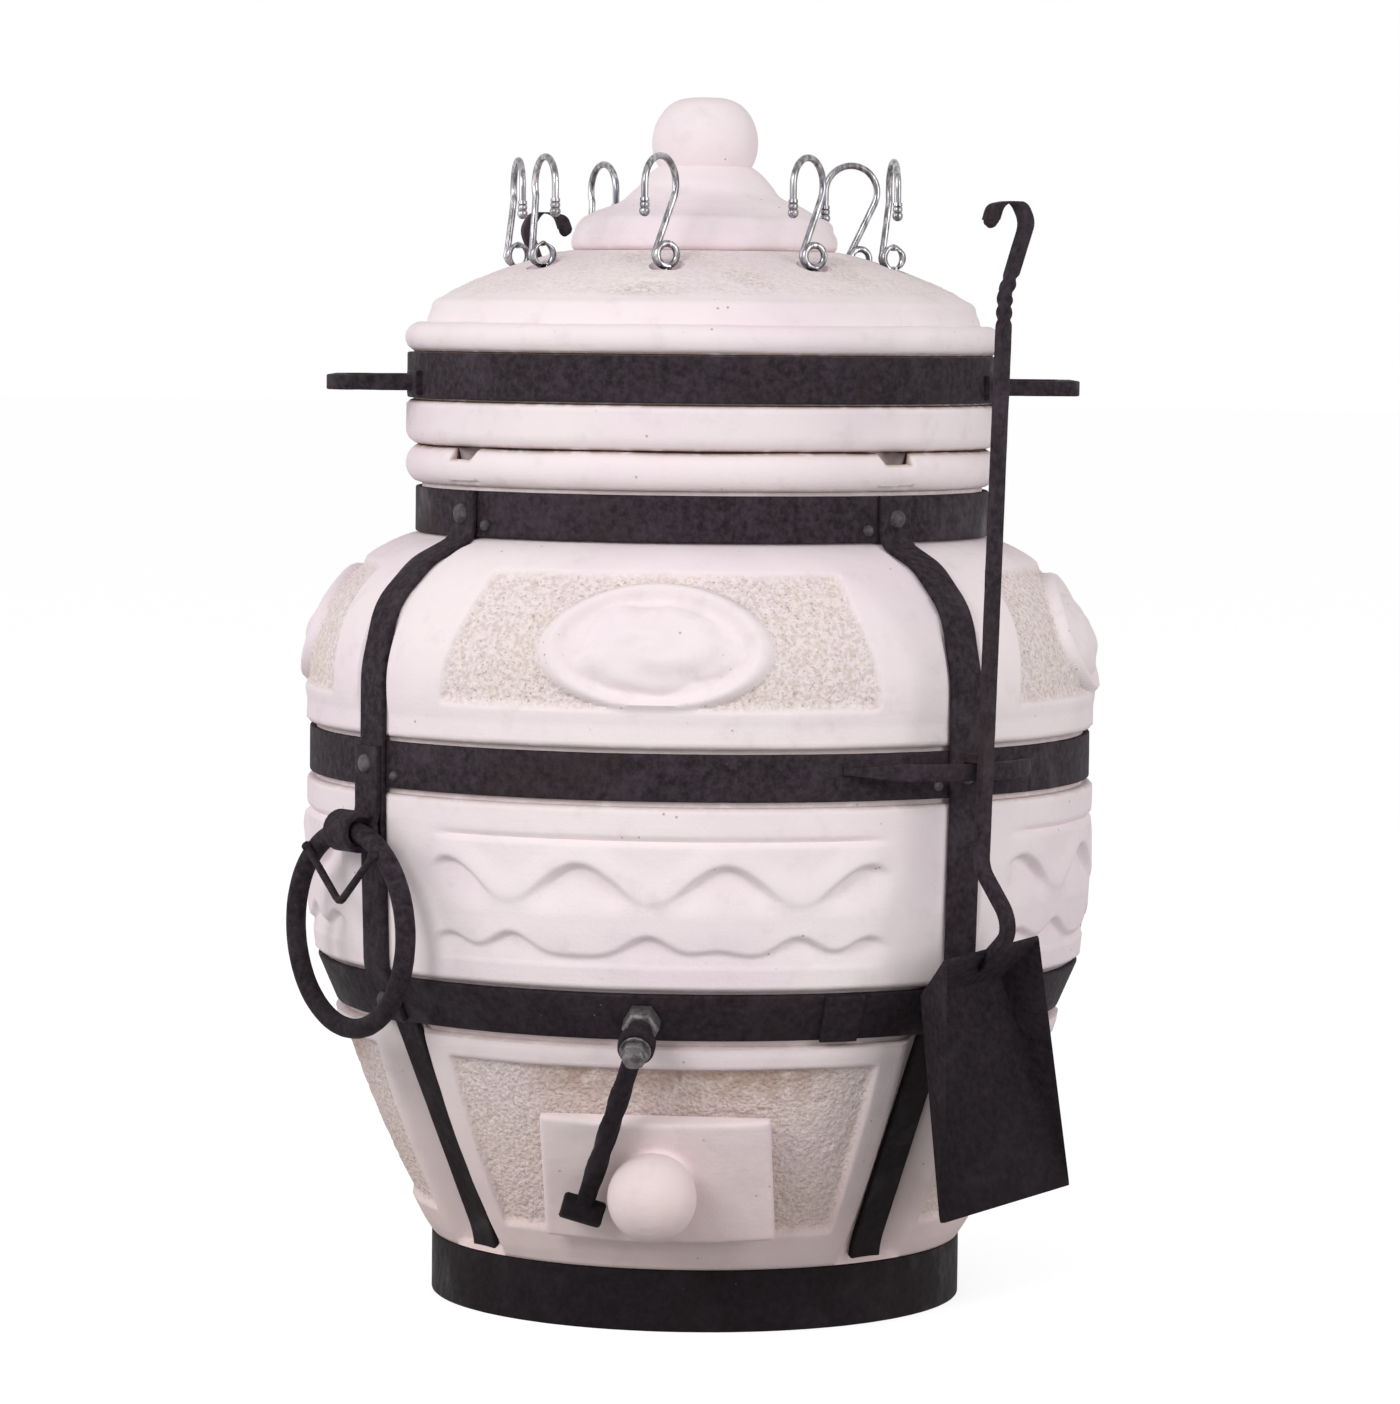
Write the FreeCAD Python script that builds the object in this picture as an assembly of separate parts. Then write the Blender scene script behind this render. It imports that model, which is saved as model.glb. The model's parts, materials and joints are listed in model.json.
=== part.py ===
import FreeCAD, Part
import math
import os

from FreeCAD import Vector

# A clay tandoor oven in a cage of flat iron. Millimetres, +Z up, the vent door faces -Y.
# The origin is the centre of the base, on the ground. Angles are counted from the front (-Y)
# towards +X, and "r" is the distance from the vertical axis.

# --- driving dimensions ---------------------------------------------------------------------
UP = Vector(0, 0, 1)
BAND = 4.0                   # thickness of every hoop and strap
HOOP_TALL = 30.0             # flat bar of the upper hoops
STRAP_ANGLES = (-46.5, 46.5, 133.5, -133.5)
STRAP_WIDE = 25.0
SIDE_ANGLES = (0, 90, 180, 270)   # centres of the four carved panels

BASE_R = 176.7               # outside of the base hoop
BASE_TALL = 40.0
LOWER_HOOP_LOW = (241.0, 196.0)    # r, z of the outer lower edge
LOWER_HOOP_HIGH = (254.0, 226.0)   # r, z of the outer upper edge
SLOPE = math.degrees(math.atan2(LOWER_HOOP_HIGH[0] - LOWER_HOOP_LOW[0],
                                LOWER_HOOP_HIGH[1] - LOWER_HOOP_LOW[1]))   # of the lower wall from upright
BELLY_R, BELLY_Z = 260.0, 348.5    # outer radius and lower edge
NECK_R, NECK_Z = 190.7, 507.5
LID_HOOP_R, LID_HOOP_Z = 196.7, 596.0

NECK_RIVET_Z, BELLY_RIVET_Z = NECK_Z + HOOP_TALL / 2, BELLY_Z + HOOP_TALL / 2
LOWER_RIVET_Z = 211.0
SPLICE_ANGLE = 28.0          # lap plate of the lower hoop
OVAL_WIDE, OVAL_TALL, OVAL_Z = 148.0, 81.0, 444.5

SEAM_Z = 565.0               # joint between pot rim and lid
MOUTH_R = 142.0
POT_FLOOR_Z = 44.0
LEDGE_R, LEDGE_Z, LEDGE_THICK = 122.0, 152.0, 20.0
FIELD_DEPTH = 3.5            # how far the rough panels lie below their frames
GRATE_R, GRATE_THICK = 136.0, 10.0

LID_SEAT_R, LID_SEAT_Z = 90.0, 694.0   # flat ring that the cap rests on
CHIMNEY_R = 45.0

SKEWER_COUNT = 8
SKEWER_R = 127.0             # circle of the skewer holes
SKEWER_START = -4.5          # angle of the first skewer
SKEWER_TURNS = (63, 63, 104, 16, 66, 126, 108, 120)   # heading of each hook, degrees from +X
PIT_R, PIT_Z = 11.5, 680.6   # shallow pit in the lid that an eye stands in
EYE_Z = 690.4
EYE_COIL_R, WIRE_R = 7.25, 2.3
BLADE_TIP_Z = 190.0

DOOR_WIDE, DOOR_TALL, DOOR_THICK = 147.0, 95.0, 15.0
DOOR_WALL = (209.3, 110.5)   # r, z of the wall point behind the door's centre
PLUG_WIDE, PLUG_TALL, PLUG_DEEP = 108.0, 58.0, 12.0
KNOB_R, KNOB_OUT = 28.7, 20.0

LATCH_X = -6.0
LATCH_REST = 18.0            # lean of the hanging arm, degrees towards -X
ARM_LONG, ARM_THICK = 128.0, 12.0
ARM_OUT = 33.0               # middle of the arm, outwards from the lower hoop
STUD_R, EYE_PLAY = 5.0, 0.08

RING_ANGLES = (-46.5, 133.5)
RING_R, RING_BAR_R = 63.5, 6.5
RING_PIVOT = (279.0, 320.5)  # r, z of the bracket's eye
EYE_IN_R = 9.5

HOLDER_ANGLES = (43.5, -157.5)
HOLDER_HALF = 16.6           # half of the angle between a holder's feet
HOLDER_BOW_R = 293.5
HOLDER_THICK, HOLDER_TALL, HOLDER_Z = 5.0, 11.0, 362.0
TOOL_R = 303.5               # axis of a hanging tool's rod
TOOL_ANGLES = (42.2, -154.5)
ROD_HALF = 4.0               # half of a tool rod's square section
ROD_TOP_Z = 684.0
TRAY_ANGLE, TRAY_ROLL, TRAY_PITCH = 45.0, 8.0, 9.0
TRAY_BACK = (267.0, 230.0)   # r, z of the middle of the tray's back edge
TRAY_LONG, TRAY_BACK_WIDE, TRAY_LIP_WIDE = 142.0, 67.0, 108.0
TRAY_WALL, TRAY_BACK_LEAN, SHEET = 38.0, 22.0, 2.5

RIVET_R, HEAD_R, HEAD_TALL, HOLE_PLAY = 3.0, 6.5, 4.5, 0.05
PIN_R = 3.4                  # small ball rivets beside the straps

LID_HANDLE_ANGLES = (-83.5, 96.5)
HANDLE_OUT, HANDLE_HALF, HANDLE_BAR, HANDLE_Z = 248.0, 58.0, 10.0, 606.0


# --- helpers --------------------------------------------------------------------------------
def cos(degrees):
    return math.cos(math.radians(degrees))


def sin(degrees):
    return math.sin(math.radians(degrees))


def front(x, r, z):
    """A point on the front of the oven: x sideways, r outwards."""
    return Vector(x, -r, z)


def turned(shape, angle):
    """A copy of something made at the front, moved round the axis."""
    return shape.rotated(Vector(0, 0, 0), UP, angle)


def edge(points):
    if len(points) == 2:
        return Part.LineSegment(*points).toShape()
    return Part.Arc(*points).toShape()


def outline_face(start, steps, place):
    """Face inside an outline; a step is a point, or an arc's middle and end."""
    edges = []
    here = start
    for step in steps + [start]:
        if isinstance(step[0], tuple):
            middle, there = step
            edges.append(edge((place(*here), place(*middle), place(*there))))
        elif step != here:
            there = step
            edges.append(edge((place(*here), place(*there))))
        here = there
    return Part.Face(Part.Wire(edges))


def revolved(start, steps, half_angle=180):
    """Solid of revolution of an (r, z) outline, centred on the front."""
    face = outline_face(start, steps, lambda r, z: Vector(0, -r, z))
    solid = face.revolve(Vector(0, 0, 0), UP, 2 * half_angle)
    return turned(solid, -half_angle)


def ring(inner, outer, low, high):
    return revolved((inner, low), [(outer, low), (outer, high), (inner, high)])


def rounded(points, radii):
    """Straight runs joined by tangent arcs: two points for a run, three for an arc."""
    runs = []
    here = points[0]
    for before, corner, after, radius in zip(points, points[1:], points[2:], radii):
        back = (before - corner).normalize()
        ahead = (after - corner).normalize()
        half = back.getAngle(ahead) / 2
        bisector = (back + ahead).normalize()
        start = corner + back * (radius / math.tan(half))
        end = corner + ahead * (radius / math.tan(half))
        middle = corner + bisector * (radius / math.sin(half) - radius)
        runs.append((here, start))
        runs.append((start, middle, end))
        here = end
    runs.append((here, points[-1]))
    return runs


def swept(points, radii, profile):
    path = Part.Wire([edge(run) for run in rounded(points, radii)])
    return path.makePipeShell([profile], True, False)


def round_bar(points, radii, radius):
    circle = Part.Circle(points[0], points[1] - points[0], radius)
    return swept(points, radii, Part.Wire(circle.toShape()))


def square_bar(points, radii, half, side):
    """Square bar; side is a direction square to the first run."""
    along = (points[1] - points[0]).normalize()
    across = side.cross(along).normalize() * half
    side = Vector(side).normalize() * half
    corners = [points[0] + side + across, points[0] - side + across,
               points[0] - side - across, points[0] + side - across]
    return swept(points, radii, Part.makePolygon(corners + corners[:1]))


def bent_strip(points, radii, thick, wide):
    """Flat bar at the front: its face follows (r, z) points, and thick adds to the outside."""
    runs = rounded([front(0, r, z) for r, z in points], radii)
    inner = [edge(run) for run in runs]
    outer = []
    for index, run in enumerate(runs):
        if len(run) == 2:
            side = across_strip(run[1] - run[0])
            outer.append(tuple(point + side * thick for point in run))
        else:
            before = across_strip(runs[index - 1][1] - runs[index - 1][0])
            after = across_strip(runs[index + 1][1] - runs[index + 1][0])
            sides = (before, (before + after).normalize(), after)
            outer.append(tuple(point + side * thick for point, side in zip(run, sides)))
    ends = [edge((runs[0][0], outer[0][0])), edge((runs[-1][-1], outer[-1][-1]))]
    edges = inner + [edge(run) for run in outer] + ends
    face = Part.Face(Part.Wire(Part.__sortEdges__(edges)))
    face.translate(Vector(-wide / 2, 0, 0))
    return face.extrude(Vector(wide, 0, 0))


def across_strip(direction):
    """Outward normal of a strip that runs downwards at the front."""
    return direction.cross(Vector(1, 0, 0)).normalize()


def joined(shapes):
    """One solid of several that touch or overlap."""
    solid = shapes[0].multiFuse(shapes[1:]).removeSplitter()
    return solid


def group(solids):
    return Part.makeCompound(solids)


def box_between(low, high):
    size = high - low
    return Part.makeBox(size.x, size.y, size.z, low)


def wall_place(shape, r, z):
    """Turn what was made with +Z as outwards and +Y as up so that it stands on the sloping wall."""
    placed = shape.rotated(Vector(0, 0, 0), Vector(1, 0, 0), 90 + SLOPE)
    placed.translate(front(0, r, z))
    return placed


def hexagon_prism(across_flats, height):
    corners = [Vector(cos(a), sin(a), 0) * (across_flats / 2 / cos(30)) for a in range(0, 361, 60)]
    return Part.Face(Part.makePolygon(corners)).extrude(Vector(0, 0, height))


# --- clay -----------------------------------------------------------------------------------
def lower_hoop_inside(z):
    """Radius of the lower hoop's inner face at a height."""
    run = (LOWER_HOOP_HIGH[0] - LOWER_HOOP_LOW[0]) / (LOWER_HOOP_HIGH[1] - LOWER_HOOP_LOW[1])
    return LOWER_HOOP_LOW[0] - BAND / cos(SLOPE) + (z - LOWER_HOOP_LOW[1]) * run


def pot_body():
    foot_r = BASE_R - BAND - 0.2
    outside = [(foot_r, BAND), (foot_r, BASE_TALL), (175.5, BASE_TALL), (181.0, 48.0),
               ((216.5, 120.0), (243.5, 193.0)), ((256.0, 237.0), (262.0, 331.0)),
               (262.0, 396.0), ((257.0, 447.0), (241.0, 473.0)),
               ((222.0, 491.0), (187.0, 507.0)), (NECK_R - BAND, 507.0),
               (NECK_R - BAND, 540.0), ((197.0, 553.0), (191.0, 563.6)), (188.5, SEAM_Z)]
    inside = [(MOUTH_R, SEAM_Z), (MOUTH_R, 522.0), ((194.0, 470.0), (214.0, 390.0)),
              (212.0, 300.0), ((201.0, 220.0), (172.0, LEDGE_Z)), (LEDGE_R, LEDGE_Z),
              (LEDGE_R, LEDGE_Z - LEDGE_THICK), (150.0, LEDGE_Z - LEDGE_THICK),
              (138.0, POT_FLOOR_Z), (0.0, POT_FLOOR_Z)]
    return revolved((0.0, BAND), outside + inside)


def hoop_grooves():
    low, high = 192.5, 229.0
    sloping = revolved((lower_hoop_inside(low), low),
                       [(275.0, low), (275.0, high), (lower_hoop_inside(high), high)])
    return [sloping, ring(BELLY_R - BAND, 275.0, 345.0, 381.5)]


def upper_field():
    """Sunk rough panel of the shoulder, left standing inside an oval."""
    foot_r = 262.0 - FIELD_DEPTH
    field = revolved((foot_r, 407.0),
                     [(275.0, 407.0), (275.0, 489.0), (216.5, 489.0),
                      ((228.0, 480.6), (238.0, 470.0)), ((252.5, 447.0), (foot_r, 407.0))], 30.5)
    oval = Part.Face(Part.Wire(Part.Ellipse(Vector(0, 0, 0), OVAL_WIDE / 2, OVAL_TALL / 2).toShape()))
    oval = oval.rotated(Vector(0, 0, 0), Vector(1, 0, 0), 90)
    oval.translate(front(0, 190.0, OVAL_Z))
    return field.cut(oval.extrude(Vector(0, -90.0, 0)))


def lower_field():
    """Sunk rough panel of the tapering foot."""
    return revolved((190.0 - FIELD_DEPTH, 66.0),
                    [(260.0, 66.0), (260.0, 177.0), (238.2 - FIELD_DEPTH, 177.0),
                     ((216.3 - FIELD_DEPTH, 119.5), (190.0 - FIELD_DEPTH, 66.0))], 33.5)


def vent_hole():
    """Pocket for the door's plug, square to the wall, and a level duct to the ash chamber."""
    margin = 2.0
    wide, tall = PLUG_WIDE / 2 + margin, PLUG_TALL / 2 + margin
    pocket = box_between(Vector(-wide, -tall, -34.0), Vector(wide, tall, 30.0))
    duct = box_between(front(-wide + 4.0, 192.0, 84.0), front(wide - 4.0, 120.0, 128.0))
    return [wall_place(pocket, *DOOR_WALL), duct]


def clay_pot():
    cuts = hoop_grooves() + vent_hole()
    for angle in SIDE_ANGLES:
        cuts += [turned(upper_field(), angle), turned(lower_field(), angle)]
    for angle in STRAP_ANGLES:
        notch = box_between(front(-13.0, 210.0, SEAM_Z - 7.0), front(13.0, 176.0, SEAM_Z + 1.0))
        for cutter in (upper_strip(9.0, STRAP_WIDE + 1.5), lower_channel(), notch):
            cuts.append(turned(cutter, angle))
    return pot_body().cut(cuts)


def lid_shell():
    outside = [(LID_SEAT_R, LID_SEAT_Z), ((131.0, 682.5), (172.0, 664.0)),
               ((180.0, 656.0), (185.0, 645.5)), ((198.0, 637.0), (LID_HOOP_R - BAND, 627.5)),
               (LID_HOOP_R - BAND, 594.5), (197.0, 593.5), (197.0, 575.0),
               ((194.0, 568.0), (187.0, SEAM_Z))]
    inside = [(150.0, SEAM_Z), (150.0, 600.0), ((118.0, 645.0), (58.0, 668.0)), (CHIMNEY_R, 668.0)]
    cuts = []
    for angle in skewer_angles():
        hole = Part.makeCylinder(7.0, 100.0, front(0, SKEWER_R, 600.0))
        pit = Part.makeCylinder(PIT_R, 30.0, front(0, SKEWER_R, PIT_Z))
        cuts += [turned(hole, angle), turned(pit, angle)]
    return revolved((CHIMNEY_R, LID_SEAT_Z), outside + inside).cut(cuts)


def lid_cap():
    return revolved((0.0, 676.0),
                    [(CHIMNEY_R - 3.0, 676.0), (CHIMNEY_R - 3.0, LID_SEAT_Z), (88.0, LID_SEAT_Z),
                     ((88.6, 701.0), (86.0, 707.0)), ((83.5, 713.5), (78.0, 717.0)), (61.0, 725.0),
                     ((49.0, 732.0), (42.0, 740.0)), ((36.0, 746.0), (30.5, 750.0)),
                     ((35.0, 771.0), (24.0, 791.0)), ((15.5, 794.9), (6.0, 796.0)), (0.0, 796.0)])


def vent_door():
    """Plate with a gently crowned front, a shallow plug behind and a ball knob."""
    crown_r = 400.0
    blank = box_between(Vector(-DOOR_WIDE / 2, -DOOR_TALL / 2, -20.0),
                        Vector(DOOR_WIDE / 2, DOOR_TALL / 2, 20.0))
    blank = blank.makeFillet(6.0, [e for e in blank.Edges if abs(e.Vertexes[0].Z - e.Vertexes[1].Z) > 1])
    crown = Part.makeCylinder(crown_r, DOOR_TALL + 2, Vector(0, -DOOR_TALL / 2 - 1, DOOR_THICK - crown_r),
                              Vector(0, 1, 0))
    plate = wall_place(blank.common(crown), *DOOR_WALL)
    gap = 0.4
    wall = revolved((0.0, 0.0),
                    [(190.0 + gap, 0.0), (190.0 + gap, 66.0 + gap), (190.0 - FIELD_DEPTH + gap, 66.0 + gap),
                     ((216.3 - FIELD_DEPTH + gap, 119.5), (238.2 - FIELD_DEPTH + gap, 177.0)),
                     (0.0, 177.0)])
    plug = box_between(Vector(-PLUG_WIDE / 2, -PLUG_TALL / 2, -PLUG_DEEP),
                       Vector(PLUG_WIDE / 2, PLUG_TALL / 2, DOOR_THICK / 2))
    knob = Part.makeSphere(KNOB_R, Vector(0, 0, DOOR_THICK + KNOB_OUT))
    return joined([plate.cut(wall), wall_place(plug, *DOOR_WALL), wall_place(knob, *DOOR_WALL)])


def ash_grate():
    plate = Part.makeCylinder(GRATE_R, GRATE_THICK, Vector(0, 0, LEDGE_Z))
    slots = []
    for x in range(-90, 91, 30):
        half = math.sqrt(108.0 ** 2 - x ** 2)
        slots.append(box_between(Vector(x - 6.5, -half, 0), Vector(x + 6.5, half, LEDGE_Z + 20)))
    return plate.cut(slots)


# --- iron cage ------------------------------------------------------------------------------
def hoop(outer, low, angles, tall=HOOP_TALL):
    """Level hoop, bored for the rivets of the straps."""
    band = ring(outer - BAND, outer, low, low + tall)
    return band.cut([turned(rivet_hole(outer, low + tall / 2, 0), a) for a in angles])


def rivet_hole(r, z, tilt):
    """Bore through bars at the front; tilt is how far its outer end points down."""
    direction = Vector(0, -cos(tilt), -sin(tilt))
    return Part.makeCylinder(RIVET_R + HOLE_PLAY, 40.0, front(0, r, z) - direction * 20.0, direction)


def rivet(inner_r, outer_r, z, tilt=0.0):
    """Round-head rivet from the back of one bar to the face of another."""
    direction = Vector(0, -cos(tilt), -sin(tilt))
    start = front(0, inner_r, z)
    shank = Part.makeCylinder(RIVET_R, outer_r - inner_r, start, direction)
    dome_r = (HEAD_R ** 2 + HEAD_TALL ** 2) / (2 * HEAD_TALL)
    face = start + direction * (outer_r - inner_r)
    dome = Part.makeSphere(dome_r, face + direction * (HEAD_TALL - dome_r))
    cap = Part.makeCylinder(HEAD_R + 1, HEAD_TALL + 1, face, direction)
    return joined([shank, dome.common(cap)])


def lower_hoop_face_r(z):
    return lower_hoop_inside(z) + BAND / cos(SLOPE)


def lower_hoop():
    low, high = LOWER_HOOP_LOW, LOWER_HOOP_HIGH
    inward = Vector(-BAND * cos(SLOPE), 0, BAND * sin(SLOPE))
    band = revolved(low, [high, (high[0] + inward.x, high[1] + inward.z),
                          (low[0] + inward.x, low[1] + inward.z)])
    holes = [turned(rivet_hole(lower_hoop_face_r(LOWER_RIVET_Z), LOWER_RIVET_Z, SLOPE), angle)
             for angle in STRAP_ANGLES]
    return band.cut(holes)


def lower_hoop_splice():
    """Lap plate over the joint of the lower hoop."""
    thick = 3.0
    outward = Vector(thick * cos(SLOPE), 0, -thick * sin(SLOPE))
    low, high = (LOWER_HOOP_LOW, LOWER_HOOP_HIGH)
    plate = revolved(low, [(low[0] + outward.x, low[1] + outward.z),
                           (high[0] + outward.x, high[1] + outward.z), high], 3.0)
    return turned(plate, SPLICE_ANGLE)


def base_cross():
    """Two flat bars under the clay, welded into one cross inside the base hoop."""
    long = 2 * BASE_R
    bars = [box_between(Vector(-long / 2, -20.0, 0), Vector(long / 2, 20.0, BAND)),
            box_between(Vector(-20.0, -long / 2, 0), Vector(20.0, long / 2, BAND))]
    return joined(bars).common(Part.makeCylinder(BASE_R - BAND, BAND)).removeSplitter()


def upper_strip(thick=BAND, wide=STRAP_WIDE):
    """Bar from the neck hoop over the shoulder and belly hoop to the lower hoop."""
    bend_z, foot_z = 232.0, 198.0
    points = [(NECK_R, NECK_Z + HOOP_TALL), (NECK_R, 505.2), (223.0, 491.3), (250.0, 465.0),
              (BELLY_R, 423.0), (BELLY_R, 335.0), (lower_hoop_face_r(bend_z), bend_z),
              (lower_hoop_face_r(foot_z), foot_z)]
    return bent_strip(points, [14.0, 45.0, 45.0, 60.0, 200.0, 30.0], thick, wide)


def lower_strip(thick=BAND, wide=STRAP_WIDE, top_z=223.0):
    """Straight bar from behind the lower hoop into the base hoop, under its outer face."""
    back = 0.4
    outer_r = BASE_R - BAND - 0.5
    inner_r = outer_r - BAND
    run = (LOWER_HOOP_HIGH[0] - LOWER_HOOP_LOW[0]) / (LOWER_HOOP_HIGH[1] - LOWER_HOOP_LOW[1])
    top_r = lower_hoop_inside(top_z) - back - BAND / cos(SLOPE)
    bend_z = top_z - (top_r - inner_r) / run
    return bent_strip([(top_r, top_z), (inner_r, bend_z), (inner_r, 8.0)], [60.0], thick, wide)


def lower_channel():
    """Room in the clay for the lower strap, wider where the clay swells over it."""
    narrow = lower_strip(30.0, STRAP_WIDE + 1.5)
    wide = lower_strip(40.0, STRAP_WIDE + 16.0).cut(lower_strip(8.0, STRAP_WIDE + 20.0))
    return joined([narrow, wide])


def upper_strap(angle):
    holes = [rivet_hole(NECK_R, NECK_RIVET_Z, 0), rivet_hole(BELLY_R, BELLY_RIVET_Z, 0),
             rivet_hole(lower_hoop_face_r(LOWER_RIVET_Z), LOWER_RIVET_Z, SLOPE)]
    return turned(upper_strip().cut(holes), angle)


def lower_strap(angle):
    hole = rivet_hole(lower_hoop_face_r(LOWER_RIVET_Z), LOWER_RIVET_Z, SLOPE)
    return turned(lower_strip().cut(hole), angle)


def strap_rivets(inner_r, outer_r, z, tilt=0.0):
    return group([turned(rivet(inner_r, outer_r, z, tilt), angle) for angle in STRAP_ANGLES])


def belly_rivets():
    rivets = []
    for angle in STRAP_ANGLES:
        under_head = BELLY_R + (2 * BAND if angle in RING_ANGLES else BAND)
        rivets.append(turned(rivet(BELLY_R - BAND, under_head, BELLY_RIVET_Z), angle))
    return group(rivets)


def lower_rivets():
    """Through the upper strap, the lower hoop and the lower strap, square to the wall."""
    out = BAND * 2 + 0.2
    inner_r = lower_hoop_face_r(LOWER_RIVET_Z) - out * cos(SLOPE)
    inner_z = LOWER_RIVET_Z + out * sin(SLOPE)
    return strap_rivets(inner_r, inner_r + out + BAND, inner_z, SLOPE)


def panel_pins():
    """Small ball rivets on the neck and belly hoops, beside each strap on the panel side."""
    pins = []
    for angle in STRAP_ANGLES:
        inner_side = -1 if angle in (46.5, -133.5) else 1
        for r, z, step in ((NECK_R, NECK_Z + 8.0, 6.2), (BELLY_R, BELLY_Z + 8.0, 4.6)):
            ball = Part.makeSphere(PIN_R, front(0, r + 1.0, z))
            seated = ball.cut(Part.makeCylinder(r, 40.0, Vector(0, 0, z - 20.0)))
            pins.append(turned(seated, angle + inner_side * step))
    return group(pins)


# --- things that hang on the cage -----------------------------------------------------------
def ring_bracket(angle):
    """Tab riveted over the strap, curled into an eye round the carry ring."""
    pivot_r, pivot_z = RING_PIVOT
    eye_r = EYE_IN_R + BAND
    tab = box_between(front(-STRAP_WIDE / 2, BELLY_R + 2 * BAND, pivot_z),
                      front(STRAP_WIDE / 2, BELLY_R + BAND, 375.0))
    sideways = Vector(1, 0, 0)
    start = front(-STRAP_WIDE / 2, pivot_r, pivot_z)
    eye = Part.makeCylinder(eye_r, STRAP_WIDE, start, sideways)
    hole = Part.makeCylinder(EYE_IN_R, STRAP_WIDE, start, sideways)
    bracket = joined([tab, eye]).cut([hole, rivet_hole(BELLY_R, BELLY_RIVET_Z, 0)])
    return turned(bracket, angle)


def ring_centre():
    return front(0, RING_PIVOT[0], RING_PIVOT[1] - RING_R)


def carry_ring(angle):
    return turned(Part.makeTorus(RING_R, RING_BAR_R, ring_centre(), Vector(0, 1, 0)), angle)


def ring_brace(angle):
    """V of wire welded on the outer face of the ring."""
    wire_r, ball_r, weld_angle = 2.5, 3.3, 37.0
    wire_at = RING_PIVOT[0] + RING_BAR_R + wire_r - 1.0
    ends = [front(side * RING_R * sin(weld_angle), wire_at, ring_centre().z + RING_R * cos(weld_angle))
            for side in (-1, 1)]
    apex = front(0, wire_at, RING_PIVOT[1] - 46.0)
    wire = round_bar([ends[0], apex, ends[1]], [5.0], wire_r)
    balls = [Part.makeSphere(ball_r, end) for end in ends]
    return turned(joined([wire] + balls), angle).cut(carry_ring(angle))


def tool_holder(angle):
    """Bowed flat bar with its two pointed feet on the belly hoop."""
    foot_x, foot_r = BELLY_R * sin(HOLDER_HALF), BELLY_R * cos(HOLDER_HALF)
    rise = HOLDER_BOW_R - foot_r
    bow_r = (foot_x ** 2 + rise ** 2) / (2 * rise)
    centre = front(0, HOLDER_BOW_R - bow_r, HOLDER_Z)
    outer = Part.makeCylinder(bow_r + HOLDER_THICK / 2, HOLDER_TALL, centre)
    inner = Part.makeCylinder(bow_r - HOLDER_THICK / 2, HOLDER_TALL, centre)
    belly = Part.makeCylinder(BELLY_R, 200.0, Vector(0, 0, HOLDER_Z - 90.0))
    return turned(outer.cut([inner, belly]), angle)


def rod_x(z):
    """Sideways lean of a hanging rod."""
    return 13.5 * (z - 300.0) / (ROD_TOP_Z - 300.0)


def tool_hook():
    """Forged open hook at the top of a rod, curled to the left."""
    start = rod_x(ROD_TOP_Z)
    points = [(start, -4.0), (start + 16.5, 27.5), (start + 9.0, 41.5), (start - 9.0, 38.5),
              (start - 12.5, 28.5)]
    points = [front(x, TOOL_R, ROD_TOP_Z + z) for x, z in points]
    tip = Part.makeSphere(5.0, points[-1])
    return joined([round_bar(points, [12.0, 9.0, 8.0], 4.6), tip])


def tool_hanger(angle, rod):
    """Nib welded behind a rod; it drops over the holder's upper edge."""
    back_r = TOOL_R - ROD_HALF
    top_z = HOLDER_Z + HOLDER_TALL
    outline = [(back_r, top_z + 6.0), (282.0, top_z + 6.0), (282.0, top_z - 8.0),
               (286.0, top_z - 8.0), (286.0, top_z + 0.5)]
    face = outline_face((back_r, top_z + 0.5), outline, lambda r, z: front(rod_x(top_z) - 4.0, r, z))
    return turned(face.extrude(Vector(8.0, 0, 0)), angle).cut(rod)


def shovel_tray():
    """Tapered tray of sheet: floor, two sides that die out at the lip, and a leaning back."""
    back, lip = TRAY_BACK_WIDE / 2, TRAY_LIP_WIDE / 2
    top = back + 6.5

    def corner(x, out, down):
        return Vector(x, -out, -down)

    floor = [corner(-back, 0, 0), corner(back, 0, 0), corner(lip, 0, TRAY_LONG), corner(-lip, 0, TRAY_LONG)]
    high = [corner(-top, TRAY_WALL, -TRAY_BACK_LEAN), corner(top, TRAY_WALL, -TRAY_BACK_LEAN)]
    plates = [(floor, Vector(0, -1, 0)), ([floor[0], floor[1], high[1], high[0]], Vector(0, 0, -1)),
              ([floor[0], floor[3], high[0]], Vector(1, 0, 0)),
              ([floor[1], floor[2], high[1]], Vector(-1, 0, 0))]
    sheets = []
    for corners, inwards in plates:
        face = Part.Face(Part.makePolygon(corners + corners[:1]))
        normal = face.normalAt(0, 0)
        if normal.dot(inwards) < 0:
            normal = normal * -1
        sheets.append(face.extrude(normal * SHEET))
    tray = joined(sheets)
    tray = tray.rotated(Vector(0, 0, 0), Vector(1, 0, 0), -TRAY_PITCH)
    tray = tray.rotated(Vector(0, 0, 0), Vector(0, 1, 0), -TRAY_ROLL)
    tray.translate(front(0, *TRAY_BACK))
    return turned(tray, TRAY_ANGLE)


def shovel_rod(tray):
    """Square rod with a gooseneck that ends behind the back of the tray."""
    angle = TOOL_ANGLES[0]
    foot = turned_point(front(0, 279.0, 238.0), TRAY_ANGLE - angle)
    points = [foot, front(0, 337.0, 273.0), front(0, TOOL_R, 308.0),
              front(rod_x(ROD_TOP_Z), TOOL_R, ROD_TOP_Z)]
    side = Vector(1, 0, 0)
    rod = joined([square_bar(points, [14.0, 20.0], ROD_HALF, side), tool_hook()])
    behind = turned(rod, angle).cut(tray).Solids
    return max(behind, key=lambda solid: solid.Volume)


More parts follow.
